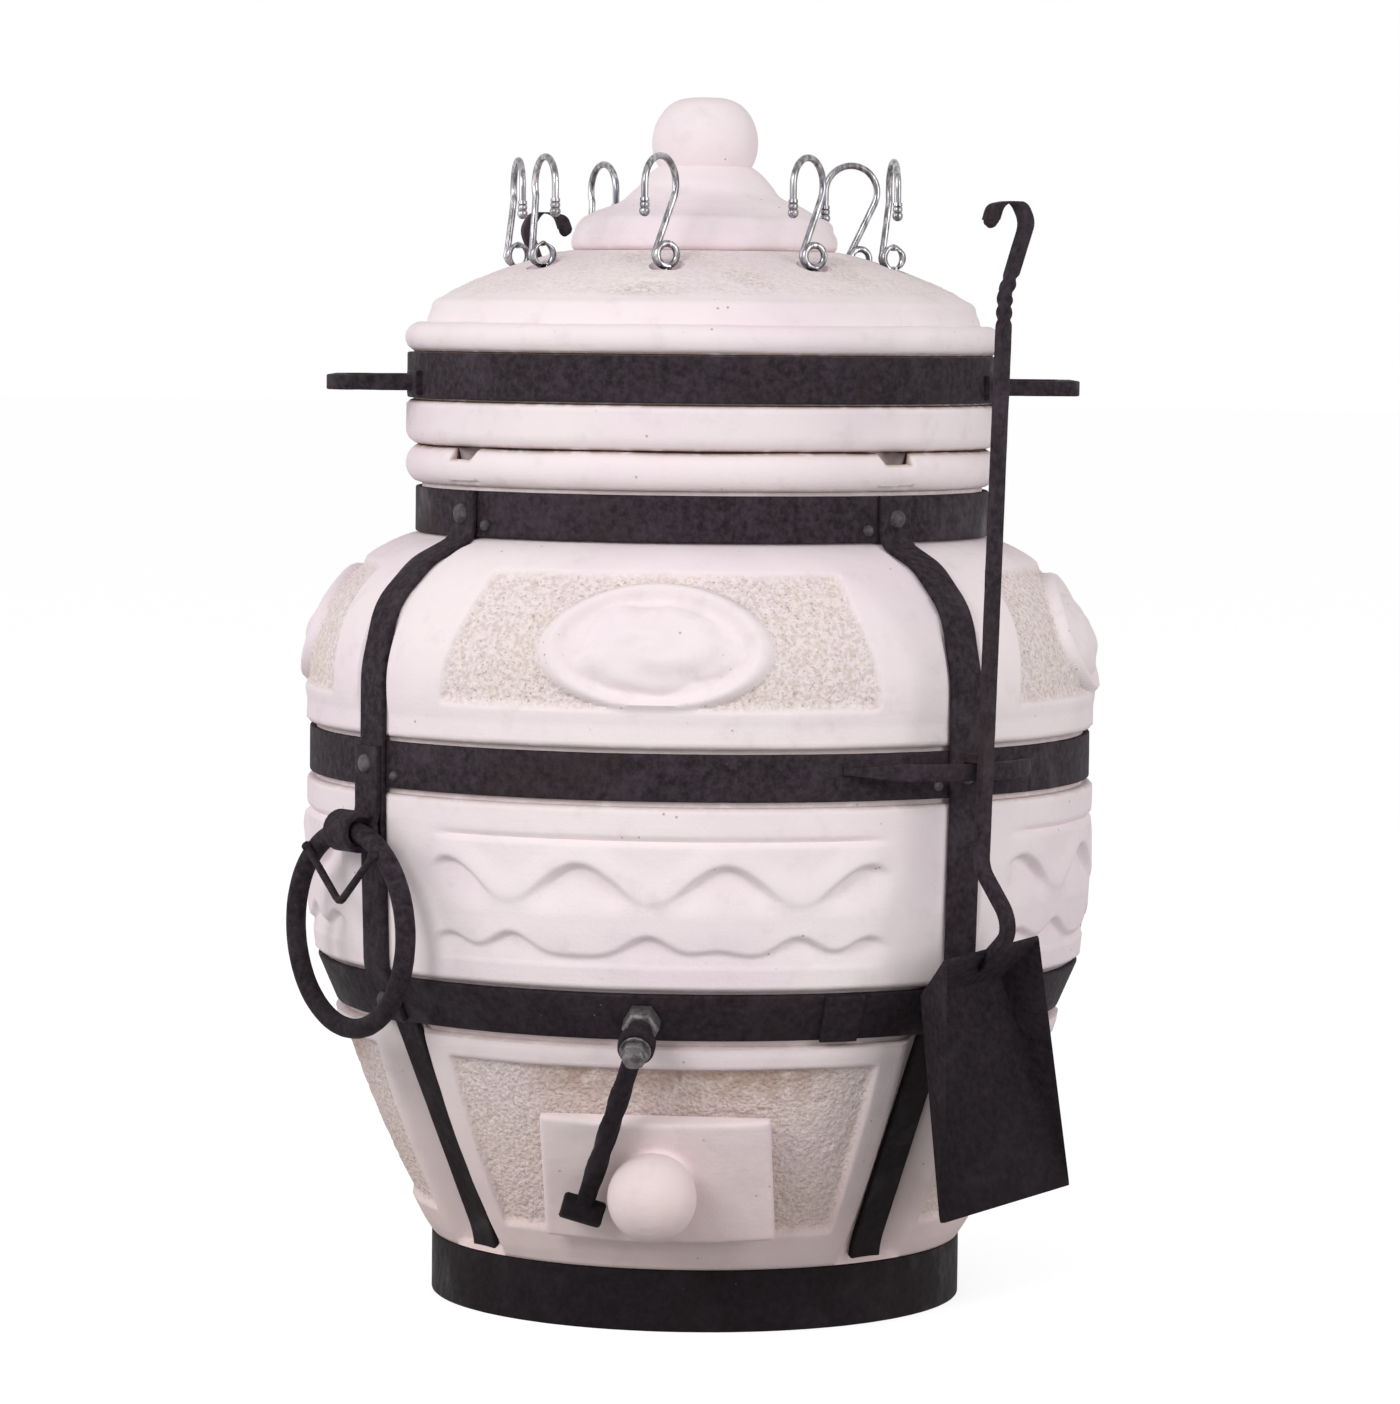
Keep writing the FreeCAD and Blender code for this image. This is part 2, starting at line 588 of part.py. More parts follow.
def poker_rod():
    points = [front(46.0, TOOL_R, 150.0), front(0, TOOL_R, 150.0),
              front(rod_x(ROD_TOP_Z), TOOL_R, ROD_TOP_Z)]
    rod = square_bar(points, [16.0], ROD_HALF, Vector(0, 1, 0))
    return turned(joined([rod, tool_hook()]), TOOL_ANGLES[1])


def lid_handle(angle):
    """U of square bar with two small feet on the lid hoop."""
    root_r = 180.0
    points = [front(-HANDLE_HALF, root_r, HANDLE_Z), front(-HANDLE_HALF, HANDLE_OUT - 5, HANDLE_Z),
              front(HANDLE_HALF, HANDLE_OUT - 5, HANDLE_Z), front(HANDLE_HALF, root_r, HANDLE_Z)]
    loop = square_bar(points, [16.0, 16.0], HANDLE_BAR / 2, Vector(1, 0, 0))
    feet = []
    for side in (-1, 1):
        foot = revolved((LID_HOOP_R, HANDLE_Z - 8), [(LID_HOOP_R + 4, HANDLE_Z - 8),
                        (LID_HOOP_R + 4, HANDLE_Z + 8), (LID_HOOP_R, HANDLE_Z + 8)], 3.4)
        feet.append(turned(foot, side * 17.6))
    band = Part.makeCylinder(LID_HOOP_R, 100.0, Vector(0, 0, HANDLE_Z - 50.0))
    return turned(joined([loop.cut(band)] + feet), angle)


# --- latch before the vent door -------------------------------------------------------------
def latch_place(shape):
    placed = wall_place(shape, lower_hoop_face_r(LOWER_RIVET_Z), LOWER_RIVET_Z)
    placed.translate(Vector(LATCH_X, 0, 0))
    return placed


def bored(shape, play):
    return shape.cut(Part.makeCylinder(STUD_R + play, 200.0, Vector(0, 0, -50.0)))


def latch_parts():
    """Stud, nuts and spacer, the arm that turns between them, and its cross head."""
    low, high = ARM_OUT - ARM_THICK / 2, ARM_OUT + ARM_THICK / 2
    arm = joined([Part.makeCylinder(11.5, ARM_THICK, Vector(0, 0, low)),
                  box_between(Vector(-ARM_THICK / 2, -ARM_LONG, low), Vector(ARM_THICK / 2, -6.0, high))])
    head = Part.makeCylinder(8.5, 27.0, Vector(-13.5, -ARM_LONG, ARM_OUT), Vector(1, 0, 0))
    base_nut_tall = 15.0
    washer_z, nut_z = high + 0.3, high + 2.3
    stud_long = nut_z + 8.0
    dome = Part.makeSphere(7.6, Vector(0, 0, nut_z + 6.0))
    dome = dome.common(Part.makeCylinder(10.0, 10.0, Vector(0, 0, nut_z + 5.0)))
    cap_nut = joined([hexagon_prism(16.0, 6.5).translated(Vector(0, 0, nut_z)), dome])
    spacer = Part.makeCylinder(8.0, low - 0.4 - base_nut_tall, Vector(0, 0, base_nut_tall))
    parts = {
        "latch_stud": Part.makeCylinder(STUD_R, stud_long, Vector(0, 0, 0)),
        "latch_base_nut": bored(hexagon_prism(21.0, base_nut_tall), HOLE_PLAY),
        "latch_spacer": bored(spacer, HOLE_PLAY),
        "latch_washer": bored(Part.makeCylinder(10.0, 2.0, Vector(0, 0, washer_z)), HOLE_PLAY),
        "latch_cap_nut": cap_nut.cut(Part.makeCylinder(STUD_R + HOLE_PLAY, stud_long + HOLE_PLAY)),
    }
    swung = {"latch_arm": bored(arm, EYE_PLAY).cut(head), "latch_head": head}
    for name, shape in swung.items():
        parts[name] = shape.rotated(Vector(0, 0, 0), UP, -LATCH_REST)
    return {name: latch_place(shape) for name, shape in parts.items()}


# --- skewers --------------------------------------------------------------------------------
def skewer_angles():
    return [SKEWER_START + index * 360 / SKEWER_COUNT for index in range(SKEWER_COUNT)]


def skewer(angle, heading):
    """Flat blade, eye of two turns that stands on the lid, and an S hook with a ball tip."""
    stem_foot, stem_top = Vector(-6.5, 0, 3.2), Vector(10.0, 0, 38.0)
    bend_r, tip_z, ball_r = 17.8, 27.7, 3.6
    along = (stem_top - stem_foot).normalize()
    centre = stem_top + Vector(-along.z, 0, along.x) * bend_r
    far = centre - Vector(bend_r, 0, 0)
    tip = Vector(far.x, 0, tip_z)
    middle = centre + (Vector(0, 0, 1) * bend_r)
    path = Part.Wire([edge((stem_foot, stem_top)), edge((stem_top, middle, far)), edge((far, tip))])
    wire = Part.Wire(Part.Circle(stem_foot, along, WIRE_R).toShape())
    hook = path.makePipeShell([wire], True, False)
    coils = [Part.makeTorus(EYE_COIL_R, WIRE_R, Vector(0, y, 0), Vector(0, 1, 0)) for y in (-2.0, 2.0)]
    low = BLADE_TIP_Z - EYE_Z
    right = [(4, -6.5), (5, -30), (5, low + 18), (0, low)]
    outline = right + [(-x, z) for x, z in right[-2::-1]] + right[:1]
    blade = Part.Face(Part.makePolygon([Vector(x, -1, z) for x, z in outline]))
    blade = blade.extrude(Vector(0, 2, 0))
    whole = joined([hook] + coils + [Part.makeSphere(ball_r, tip), blade])
    whole = whole.rotated(Vector(0, 0, 0), UP, heading)
    whole.translate(turned_point(front(0, SKEWER_R, EYE_Z), angle))
    return whole


def turned_point(point, angle):
    return FreeCAD.Rotation(UP, angle).multVec(point)


# --- the oven -------------------------------------------------------------------------------
def all_parts():
    parts = {
        "clay_pot": clay_pot(), "lid_shell": lid_shell(), "lid_cap": lid_cap(),
        "vent_door": vent_door(), "ash_grate": ash_grate(),
        "base_hoop": hoop(BASE_R, 0.0, (), BASE_TALL), "base_cross": base_cross(),
        "lower_hoop": lower_hoop(), "lower_hoop_splice": lower_hoop_splice(),
        "belly_hoop": hoop(BELLY_R, BELLY_Z, STRAP_ANGLES),
        "neck_hoop": hoop(NECK_R, NECK_Z, STRAP_ANGLES), "lid_hoop": hoop(LID_HOOP_R, LID_HOOP_Z, ()),
        "neck_rivets": strap_rivets(NECK_R - BAND, NECK_R + BAND, NECK_RIVET_Z),
        "belly_rivets": belly_rivets(), "lower_rivets": lower_rivets(),
        "panel_pins": panel_pins(),
        "shovel_holder": tool_holder(HOLDER_ANGLES[0]), "poker_holder": tool_holder(HOLDER_ANGLES[1]),
        "shovel_tray": shovel_tray(), "poker_rod": poker_rod(),
    }
    parts["shovel_rod"] = shovel_rod(parts["shovel_tray"])
    parts["shovel_hanger"] = tool_hanger(TOOL_ANGLES[0], parts["shovel_rod"])
    parts["poker_hanger"] = tool_hanger(TOOL_ANGLES[1], parts["poker_rod"])
    parts.update(latch_parts())
    for number, angle in enumerate(STRAP_ANGLES, 1):
        parts[f"upper_strap_{number}"] = upper_strap(angle)
        parts[f"lower_strap_{number}"] = lower_strap(angle)
    for number, angle in enumerate(RING_ANGLES, 1):
        parts[f"carry_ring_{number}"] = carry_ring(angle)
        parts[f"ring_brace_{number}"] = ring_brace(angle)
        parts[f"ring_bracket_{number}"] = ring_bracket(angle)
    for number, angle in enumerate(LID_HANDLE_ANGLES, 1):
        parts[f"lid_handle_{number}"] = lid_handle(angle)
    for number, (angle, heading) in enumerate(zip(skewer_angles(), SKEWER_TURNS), 1):
        parts[f"skewer_{number}"] = skewer(angle, heading)
    return parts


os.makedirs("parts", exist_ok=True)
for node, shape in all_parts().items():
    shape.exportStep(f"parts/{node}.step")
    print(f"{node}: {len(shape.Solids)} solid, {shape.Volume / 1000:.1f} cm3, valid {shape.isValid()}")
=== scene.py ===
import json
import math

import bmesh
import bpy
import numpy as np
from mathutils import Matrix, Vector, noise


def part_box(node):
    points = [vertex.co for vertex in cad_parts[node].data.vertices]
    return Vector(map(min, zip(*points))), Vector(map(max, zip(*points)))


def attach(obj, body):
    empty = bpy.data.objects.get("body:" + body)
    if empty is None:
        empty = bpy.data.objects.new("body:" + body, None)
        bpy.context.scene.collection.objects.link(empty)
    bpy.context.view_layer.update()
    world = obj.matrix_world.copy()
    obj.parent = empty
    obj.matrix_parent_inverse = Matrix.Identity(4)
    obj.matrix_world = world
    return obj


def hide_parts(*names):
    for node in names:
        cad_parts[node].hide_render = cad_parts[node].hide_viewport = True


# A clay tandoor oven in a cage of forged flat bar. Lengths in the functions below are millimetres,
# angles are degrees counted from the front (-Y) towards +X, and r is the distance from the axis.
# Meshes are written in metres, in the oven's own frame.

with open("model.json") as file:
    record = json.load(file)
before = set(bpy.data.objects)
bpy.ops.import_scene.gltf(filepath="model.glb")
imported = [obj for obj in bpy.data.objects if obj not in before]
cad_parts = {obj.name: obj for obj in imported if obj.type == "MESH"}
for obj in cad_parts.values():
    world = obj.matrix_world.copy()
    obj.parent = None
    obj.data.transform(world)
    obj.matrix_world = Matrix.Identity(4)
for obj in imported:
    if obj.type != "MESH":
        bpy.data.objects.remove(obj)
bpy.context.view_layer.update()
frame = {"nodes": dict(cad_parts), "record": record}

MM = 0.001
BAND = 4.0                      # thickness of every hoop and strap
STRAP_WIDE = 25.0
STRAP_ANGLES = (-46.5, 46.5, 133.5, -133.5)
SIDES = {"front": (0.0, 46.5), "right": (90.0, 43.5), "back": (180.0, 46.5), "left": (270.0, 43.5)}
BASE_MIDDLE, BELLY_MIDDLE, NECK_MIDDLE, LID_HOOP_MIDDLE = 20.0, 363.5, 522.5, 611.0
SEAM_Z = 565.0                  # where the lid rests on the rim
FIELD_DEPTH = 3.5               # of the sunk, rough fields in the clay
DOOR_WALL = (209.3, 110.5)      # r, z of the wall behind the door's centre

RING_ANGLES = (-46.5, 133.5)
RING_PIVOT = (279.0, 320.5)     # r, z of the eye that a carry ring swings in
RING_R, RING_BAR_R = 63.5, 6.5
TOOL_ANGLES = {"shovel": (43.5, 42.2), "poker": (-157.5, -154.5)}    # of the holder and of the rod
TOOL_R, ROD_TOP_Z = 303.5, 684.0
TRAY_ANGLE = 45.0
HANDLE_ANGLES = (-83.5, 96.5)
LATCH_X, LATCH_REST, ARM_OUT, ARM_LONG = -6.0, 18.0, 33.0, 128.0
SKEWER_R = 127.0                # circle of the skewer holes
SKEWER_ANGLES = [-4.5 + 45 * number for number in range(8)]
SKEWER_TURNS = (63, 63, 104, 16, 66, 126, 108, 120)    # heading of each hook
EYE_HEADING = 30.0              # heading of every coiled eye

FLOOR_GLOW = 0.78
SKY_LIGHT = 0.5


def cos(degrees):
    return math.cos(math.radians(degrees))


def sin(degrees):
    return math.sin(math.radians(degrees))


def node_span(node):
    """Lowest and highest corner of a node, in millimetres."""
    low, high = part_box(node)
    return low / MM, high / MM


BASE_R, BASE_TOP = node_span("base_hoop")[1].x, node_span("base_hoop")[1].z
BELLY_R = node_span("belly_hoop")[1].x
NECK_R, NECK_TOP = node_span("neck_hoop")[1].x, node_span("neck_hoop")[1].z
LID_HOOP_R = node_span("lid_hoop")[1].x
LOWER_LOW, LOWER_HIGH = (241.0, 196.0), (254.0, 226.0)    # outer edges of the sloping hoop
SLOPE = math.degrees(math.atan2(LOWER_HIGH[0] - LOWER_LOW[0], LOWER_HIGH[1] - LOWER_LOW[1]))
LOWER_TALL = math.hypot(LOWER_HIGH[0] - LOWER_LOW[0], LOWER_HIGH[1] - LOWER_LOW[1])
LOWER_MIDDLE = (LOWER_LOW[1] + LOWER_HIGH[1]) / 2


def lower_hoop_face(z):
    """Radius of the sloping hoop's outer face at a height."""
    return LOWER_LOW[0] + (z - LOWER_LOW[1]) * math.tan(math.radians(SLOPE))


def off_lower_hoop(out):
    """(r, z) at half the sloping hoop's height, out from its face."""
    return lower_hoop_face(LOWER_MIDDLE) + out * cos(SLOPE), LOWER_MIDDLE - out * sin(SLOPE)


# --- node trees -----------------------------------------------------------------------------
def add(tree, kind, inputs=None, **settings):
    """Add a node; inputs are values or sockets, by name or by number."""
    node = tree.nodes.new(kind)
    for key, value in settings.items():
        setattr(node, key, value)
    for key, value in (inputs or {}).items():
        if isinstance(value, bpy.types.NodeSocket):
            tree.links.new(value, node.inputs[key])
        else:
            node.inputs[key].default_value = value
    return node


def calc(tree, operation, *values):
    return add(tree, "ShaderNodeMath", dict(enumerate(values)), operation=operation).outputs[0]


def cloud(tree, place, scale, detail=4.0, roughness=0.55, distortion=0.0):
    """Noise from 0 to 1; scale is in waves per metre."""
    inputs = {"Vector": place, "Scale": scale, "Detail": detail, "Roughness": roughness,
              "Distortion": distortion}
    return add(tree, "ShaderNodeTexNoise", inputs).outputs[0]


def ramp(tree, value, low, high):
    """0 below low, 1 above high, smooth between."""
    inputs = {"Value": value, "From Min": low, "From Max": high}
    return add(tree, "ShaderNodeMapRange", inputs, interpolation_type="SMOOTHSTEP").outputs[0]


def tint(tree, share, first, second):
    """Mix of two colours; a colour is (r, g, b) or a socket."""
    colours = [value if isinstance(value, bpy.types.NodeSocket) else (*value, 1.0)
               for value in (first, second)]
    node = add(tree, "ShaderNodeMix", {0: share, 6: colours[0], 7: colours[1]}, data_type="RGBA")
    return node.outputs[2]


def bump(tree, height, depth, before=None):
    """Normal from a height; depth is in millimetres."""
    inputs = {"Height": height, "Distance": depth * MM, "Strength": 1.0}
    if before is not None:
        inputs["Normal"] = before
    return add(tree, "ShaderNodeBump", inputs).outputs[0]


# --- finishes -------------------------------------------------------------------------------
def new_finish(name, **sockets):
    """An empty finish: its tree, its shader and the place on the piece."""
    material = bpy.data.materials.new(name)
    material.use_nodes = True
    tree = material.node_tree
    shader = tree.nodes["Principled BSDF"]
    for key, value in sockets.items():
        shader.inputs[key.replace("_", " ")].default_value = value
    place = add(tree, "ShaderNodeTexCoord").outputs["Object"]
    return material, tree, shader, place


def wired(tree, shader, colour, roughness, normal):
    tree.links.new(colour, shader.inputs["Base Color"])
    tree.links.new(roughness, shader.inputs["Roughness"])
    tree.links.new(normal, shader.inputs["Normal"])


def clay_finish():
    """Fired clay: cream and faintly pink, brown grains where the field is rough, soot at the stains, painted
    shade in the seams and along the hoops, and darker towards the bottom, partly from dust and partly painted
    shade.
    """
    cream, rose, dust = (0.90, 0.80, 0.815), (0.85, 0.735, 0.78), (0.72, 0.62, 0.64)
    field, sand, brown = (0.88, 0.775, 0.75), (0.63, 0.50, 0.44), (0.30, 0.20, 0.16)
    # The soot brown also serves as painted shade and the near-black is painted shade in the seam gaps; the
    # earth tint is partly dust, partly painted shade.
    soot_and_shade_brown, shade, earth_and_shade = (0.38, 0.24, 0.175), (0.030, 0.022, 0.022), (0.70, 0.52, 0.46)
    material, tree, shader, place = new_finish("clay", Specular_IOR_Level=0.22)
    rough = add(tree, "ShaderNodeAttribute", attribute_name="grain").outputs["Fac"]
    stain = add(tree, "ShaderNodeAttribute", attribute_name="stain").outputs["Fac"]

    patches = cloud(tree, place, 7.0, 3.0)
    mottle = cloud(tree, place, 48.0, 5.0, 0.6)
    smooth_clay = tint(tree, ramp(tree, patches, 0.38, 0.68), cream, rose)
    smooth_clay = tint(tree, calc(tree, "MULTIPLY", ramp(tree, mottle, 0.52, 0.78), 0.45), smooth_clay, dust)

    drifts = ramp(tree, cloud(tree, place, 26.0, 3.0), 0.36, 0.64)
    field_clay = tint(tree, calc(tree, "MULTIPLY", drifts, 0.7), field, smooth_clay)
    grit = cloud(tree, place, 300.0, 3.0, 0.7)
    sandy = calc(tree, "MULTIPLY", ramp(tree, grit, 0.42, 0.62), 0.6)
    field_clay = tint(tree, sandy, field_clay, sand)
    crumbs = cloud(tree, place, 410.0, 1.0)
    dark = calc(tree, "MULTIPLY", ramp(tree, crumbs, 0.62, 0.72), 0.5)
    field_clay = tint(tree, dark, field_clay, brown)

    specks = add(tree, "ShaderNodeTexVoronoi", {"Vector": place, "Scale": 85.0})
    pinhole = calc(tree, "SUBTRACT", 1.0, ramp(tree, specks.outputs["Distance"], 0.05, 0.085))
    pinhole = calc(tree, "MULTIPLY", pinhole, ramp(tree, cloud(tree, place, 21.0), 0.52, 0.6))
    smooth_clay = tint(tree, calc(tree, "MULTIPLY", pinhole, 0.6), smooth_clay, brown)

    colour = tint(tree, rough, smooth_clay, field_clay)
    # Darker and browner towards the bottom: partly dust near the ground, partly painted shade where less
    # light reaches.
    up = add(tree, "ShaderNodeSeparateXYZ", {0: place}).outputs["Z"]
    low = calc(tree, "SUBTRACT", 1.0, ramp(tree, up, 0.02, 0.26))
    smears = calc(tree, "MULTIPLY", cloud(tree, place, 36.0, 5.0), 0.5)
    low = calc(tree, "MULTIPLY", low, calc(tree, "ADD", 0.25, smears))
    colour = tint(tree, low, colour, earth_and_shade)
    # Brown where the mask is: real soot on the lower field, painted shade in the seams and along the hoops.
    soot_and_shade = calc(tree, "MULTIPLY", stain, ramp(tree, cloud(tree, place, 90.0, 5.0), 0.22, 0.55))
    colour = tint(tree, soot_and_shade, colour, soot_and_shade_brown)
    # Near-black painted shade in the seam gaps, where the mask is strongest.
    colour = tint(tree, ramp(tree, stain, 0.8, 1.0), colour, shade)

    strokes = add(tree, "ShaderNodeMapping", {"Vector": place, "Scale": (9.0, 9.0, 90.0)}).outputs[0]
    wiped = cloud(tree, strokes, 3.0, 4.0)
    fine = calc(tree, "ADD", calc(tree, "MULTIPLY", wiped, 0.5), cloud(tree, place, 420.0, 3.0))
    fine = calc(tree, "SUBTRACT", fine, calc(tree, "MULTIPLY", pinhole, 1.2))
    normal = bump(tree, fine, 0.24)
    pebbles = add(tree, "ShaderNodeTexVoronoi", {"Vector": place, "Scale": 330.0}).outputs["Distance"]
    pebbles = calc(tree, "SUBTRACT", calc(tree, "MULTIPLY", pebbles, -0.6), grit)
    normal = bump(tree, calc(tree, "MULTIPLY", pebbles, rough), 1.5, normal)
    roughness = calc(tree, "ADD", 0.74, calc(tree, "MULTIPLY", mottle, 0.2))
    wired(tree, shader, colour, roughness, normal)
    return material


def iron_finish(name, dark, worn, rusty, scale_size, relief, gloss=0.09):
    """Forge-black bar: hammered scale, rubbed paler here and there, a brown bloom in patches, and darker
    towards the bottom, partly soot and partly painted shade.
    """
    material, tree, shader, place = new_finish(name, Specular_IOR_Level=gloss)
    scale = cloud(tree, place, scale_size, 6.0, 0.65)
    rub = ramp(tree, cloud(tree, place, 26.0, 6.0, 0.62, 0.4), 0.46, 0.74)
    colour = tint(tree, ramp(tree, scale, 0.15, 0.95), dark, worn)
    colour = tint(tree, calc(tree, "MULTIPLY", rub, 0.4), colour, worn)
    bloom = ramp(tree, cloud(tree, place, 11.0, 4.0), 0.55, 0.75)
    colour = tint(tree, calc(tree, "MULTIPLY", bloom, 0.55), colour, rusty)
    chips = add(tree, "ShaderNodeTexVoronoi", {"Vector": place, "Scale": 150.0})
    chip = calc(tree, "SUBTRACT", 1.0, ramp(tree, chips.outputs["Distance"], 0.06, 0.13))
    chip = calc(tree, "MULTIPLY", chip, ramp(tree, cloud(tree, place, 17.0), 0.62, 0.7))
    bright = tuple(min(1.0, 4.0 * value) for value in worn)
    colour = tint(tree, chip, colour, bright)
    up = add(tree, "ShaderNodeSeparateXYZ", {0: place}).outputs["Z"]
    # Darker towards the bottom: partly soot and dirt near the ground, partly painted shade where less light
    # reaches.
    soot_and_shade = calc(tree, "MULTIPLY", calc(tree, "SUBTRACT", 1.0, ramp(tree, up, 0.05, 0.36)), 0.8)
    colour = tint(tree, soot_and_shade, colour, dark)
    dents = add(tree, "ShaderNodeTexVoronoi", {"Vector": place, "Scale": 120.0, "Smoothness": 0.8},
                feature="SMOOTH_F1").outputs["Distance"]
    normal = bump(tree, calc(tree, "ADD", dents, calc(tree, "MULTIPLY", scale, 0.8)), relief)
    roughness = calc(tree, "SUBTRACT", 0.72, calc(tree, "MULTIPLY", rub, 0.26))
    wired(tree, shader, colour, roughness, normal)
    return material


def zinc_finish():
    """Dull zinc of the latch's nuts: grey, spangled, with dark grime."""
    material, tree, shader, place = new_finish("zinc", Metallic=0.55)
    spangle = add(tree, "ShaderNodeTexVoronoi", {"Vector": place, "Scale": 380.0})
    pick = add(tree, "ShaderNodeSeparateColor", {0: spangle.outputs["Color"]}).outputs[0]
    colour = tint(tree, pick, (0.10, 0.09, 0.095), (0.17, 0.16, 0.165))
    grime = ramp(tree, cloud(tree, place, 130.0, 5.0), 0.48, 0.66)
    colour = tint(tree, calc(tree, "MULTIPLY", grime, 0.75), colour, (0.035, 0.03, 0.032))
    normal = bump(tree, cloud(tree, place, 300.0, 5.0, 0.7), 0.5)
    wired(tree, shader, colour, calc(tree, "ADD", 0.42, calc(tree, "MULTIPLY", grime, 0.25)), normal)
    return material


def steel_finish():
    """Polished skewer wire with drawn streaks and finger haze; the dark and bright bands along the wire are
    partly painted reflection.
    """
    material, tree, shader, place = new_finish("skewer_steel", Metallic=1.0)
    streaks = add(tree, "ShaderNodeMapping", {"Vector": place, "Scale": (420.0, 420.0, 30.0)}).outputs[0]
    drawn_and_reflection = cloud(tree, streaks, 1.0, 3.0)
    haze = ramp(tree, cloud(tree, place, 60.0, 2.0), 0.36, 0.64)
    # Dark to bright bands along the wire: partly drawn streaks, partly painted reflection.
    colour = tint(tree, ramp(tree, drawn_and_reflection, 0.35, 0.65), (0.13, 0.125, 0.135), (0.52, 0.51, 0.53))
    colour = tint(tree, calc(tree, "MULTIPLY", haze, 0.6), colour, (0.20, 0.19, 0.20))
    roughness = calc(tree, "ADD", 0.12, calc(tree, "MULTIPLY", haze, 0.15))
    wired(tree, shader, colour, roughness, bump(tree, drawn_and_reflection, 0.06))
    return material


FINISH = {
    "clay": clay_finish(),
    "forged_iron": iron_finish("forged_iron", (0.006, 0.004, 0.005), (0.066, 0.050, 0.063),
                               (0.036, 0.024, 0.022), 210.0, 0.45),
    # Paler, glossier copy of the forged iron for the rivet heads: worn tops, and partly a painted highlight.
    "rivet_iron": iron_finish("rivet_iron", (0.012, 0.009, 0.010), (0.13, 0.115, 0.125),
                              (0.05, 0.035, 0.032), 320.0, 0.3, gloss=0.45),
    "grate_iron": iron_finish("grate_iron", (0.030, 0.022, 0.018), (0.08, 0.065, 0.055),
                              (0.11, 0.055, 0.030), 120.0, 0.8),
    "zinc": zinc_finish(),
    "skewer_steel": steel_finish(),
}


# --- meshes ---------------------------------------------------------------------------------
def at(angle, x, r, z):
    """Metres from millimetres: x sideways, r outwards and z up, on the side of an angle."""
    return Vector((x * cos(angle) + r * sin(angle), x * sin(angle) - r * cos(angle), z)) * MM


def sideways(angle):
    return Vector((cos(angle), sin(angle), 0))


def outwards(angle, lean=0.0):
    """Horizontal direction out of the wall; lean turns it down."""
    return Vector((sin(angle) * cos(lean), -cos(angle) * cos(lean), -sin(lean)))


def wall_matrix(r, z, x=0.0):
    """Carries what was made with +Z outwards and +Y up the slope, in mm, onto the sloping wall."""
    turn = Matrix.Rotation(math.radians(90 + SLOPE), 4, "X")
    return Matrix.Scale(MM, 4) @ Matrix.Translation((x, -r, z)) @ turn


def closed_outwards(mesh):
    """Turns the faces of a closed mesh outwards."""
    body = bmesh.new()
    body.from_mesh(mesh)
    if body.calc_volume(signed=True) < 0:
        bmesh.ops.reverse_faces(body, faces=body.faces)
    body.to_mesh(mesh)
    body.free()
    return mesh


def finished(name, mesh, body, nodes, slot, sharp=40.0, look=None):
    """A closed mesh in its place becomes a piece that stands for its nodes; look names another finish."""
    closed_outwards(mesh)
    mesh.materials.clear()
    mesh.materials.append(FINISH[look or slot])
    mesh.shade_smooth()
    mesh.set_sharp_from_angle(angle=math.radians(sharp))
    mesh.name = name
    piece = bpy.data.objects.new(name, mesh)
    bpy.context.collection.objects.link(piece)
    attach(piece, body)
    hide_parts(*nodes)
    return piece


def joined(meshes):
    """One mesh of several closed ones."""
    whole = bmesh.new()
    for mesh in meshes:
        whole.from_mesh(closed_outwards(mesh))
    result = bpy.data.meshes.new("joined")
    whole.to_mesh(result)
    whole.free()
    return result


def modified(mesh, *steps):
    """The mesh after a row of modifiers; a step is a type and its settings."""
    carrier = bpy.data.objects.new("carrier", mesh)
    bpy.context.collection.objects.link(carrier)
    for kind, settings in steps:
        modifier = carrier.modifiers.new(kind, kind)
        for key, value in settings.items():
            setattr(modifier, key, value)
    graph = bpy.context.evaluated_depsgraph_get()
    result = bpy.data.meshes.new_from_object(carrier.evaluated_get(graph))
    bpy.data.objects.remove(carrier)
    return result


def surface(grid, wraps, poles):
    """Closed mesh of rows of points in mm, and the points it uses.

    wraps: the last column joins the first. poles: the first and last row are single points; without
    them the last row joins the first.
    """
    rows, columns = grid.shape[:2]
    index = np.arange(rows * columns).reshape(rows, columns)
    if poles:
        index[0, :] = index[0, 0]
        index[-1, :] = index[-1, 0]
    else:
        index = np.vstack([index, index[:1]])
    if wraps:
        index = np.hstack([index, index[:, :1]])
    corners = np.stack([index[:-1, :-1], index[:-1, 1:], index[1:, 1:], index[1:, :-1]], axis=-1)
    faces = [tuple(dict.fromkeys(face)) for face in corners.reshape(-1, 4).tolist()]
    if not wraps:
        faces.append(tuple(dict.fromkeys(index[:, 0].tolist()))[::-1])
        faces.append(tuple(dict.fromkeys(index[:, -1].tolist())))
    used = sorted({corner for face in faces for corner in face})
    number = {old: new for new, old in enumerate(used)}
    mesh = bpy.data.meshes.new("surface")
    mesh.from_pydata((grid.reshape(-1, 3)[used] * MM).tolist(), [],
                     [tuple(number[corner] for corner in face) for face in faces])
    return mesh, used


def paint(mesh, used, **layers):
    """Attributes that the finish reads, one value for each point of the grid."""
    for name, values in layers.items():
        attribute = mesh.attributes.new(name, "FLOAT", "POINT")
        attribute.data.foreach_set("value", values.reshape(-1)[used].astype(np.float32))


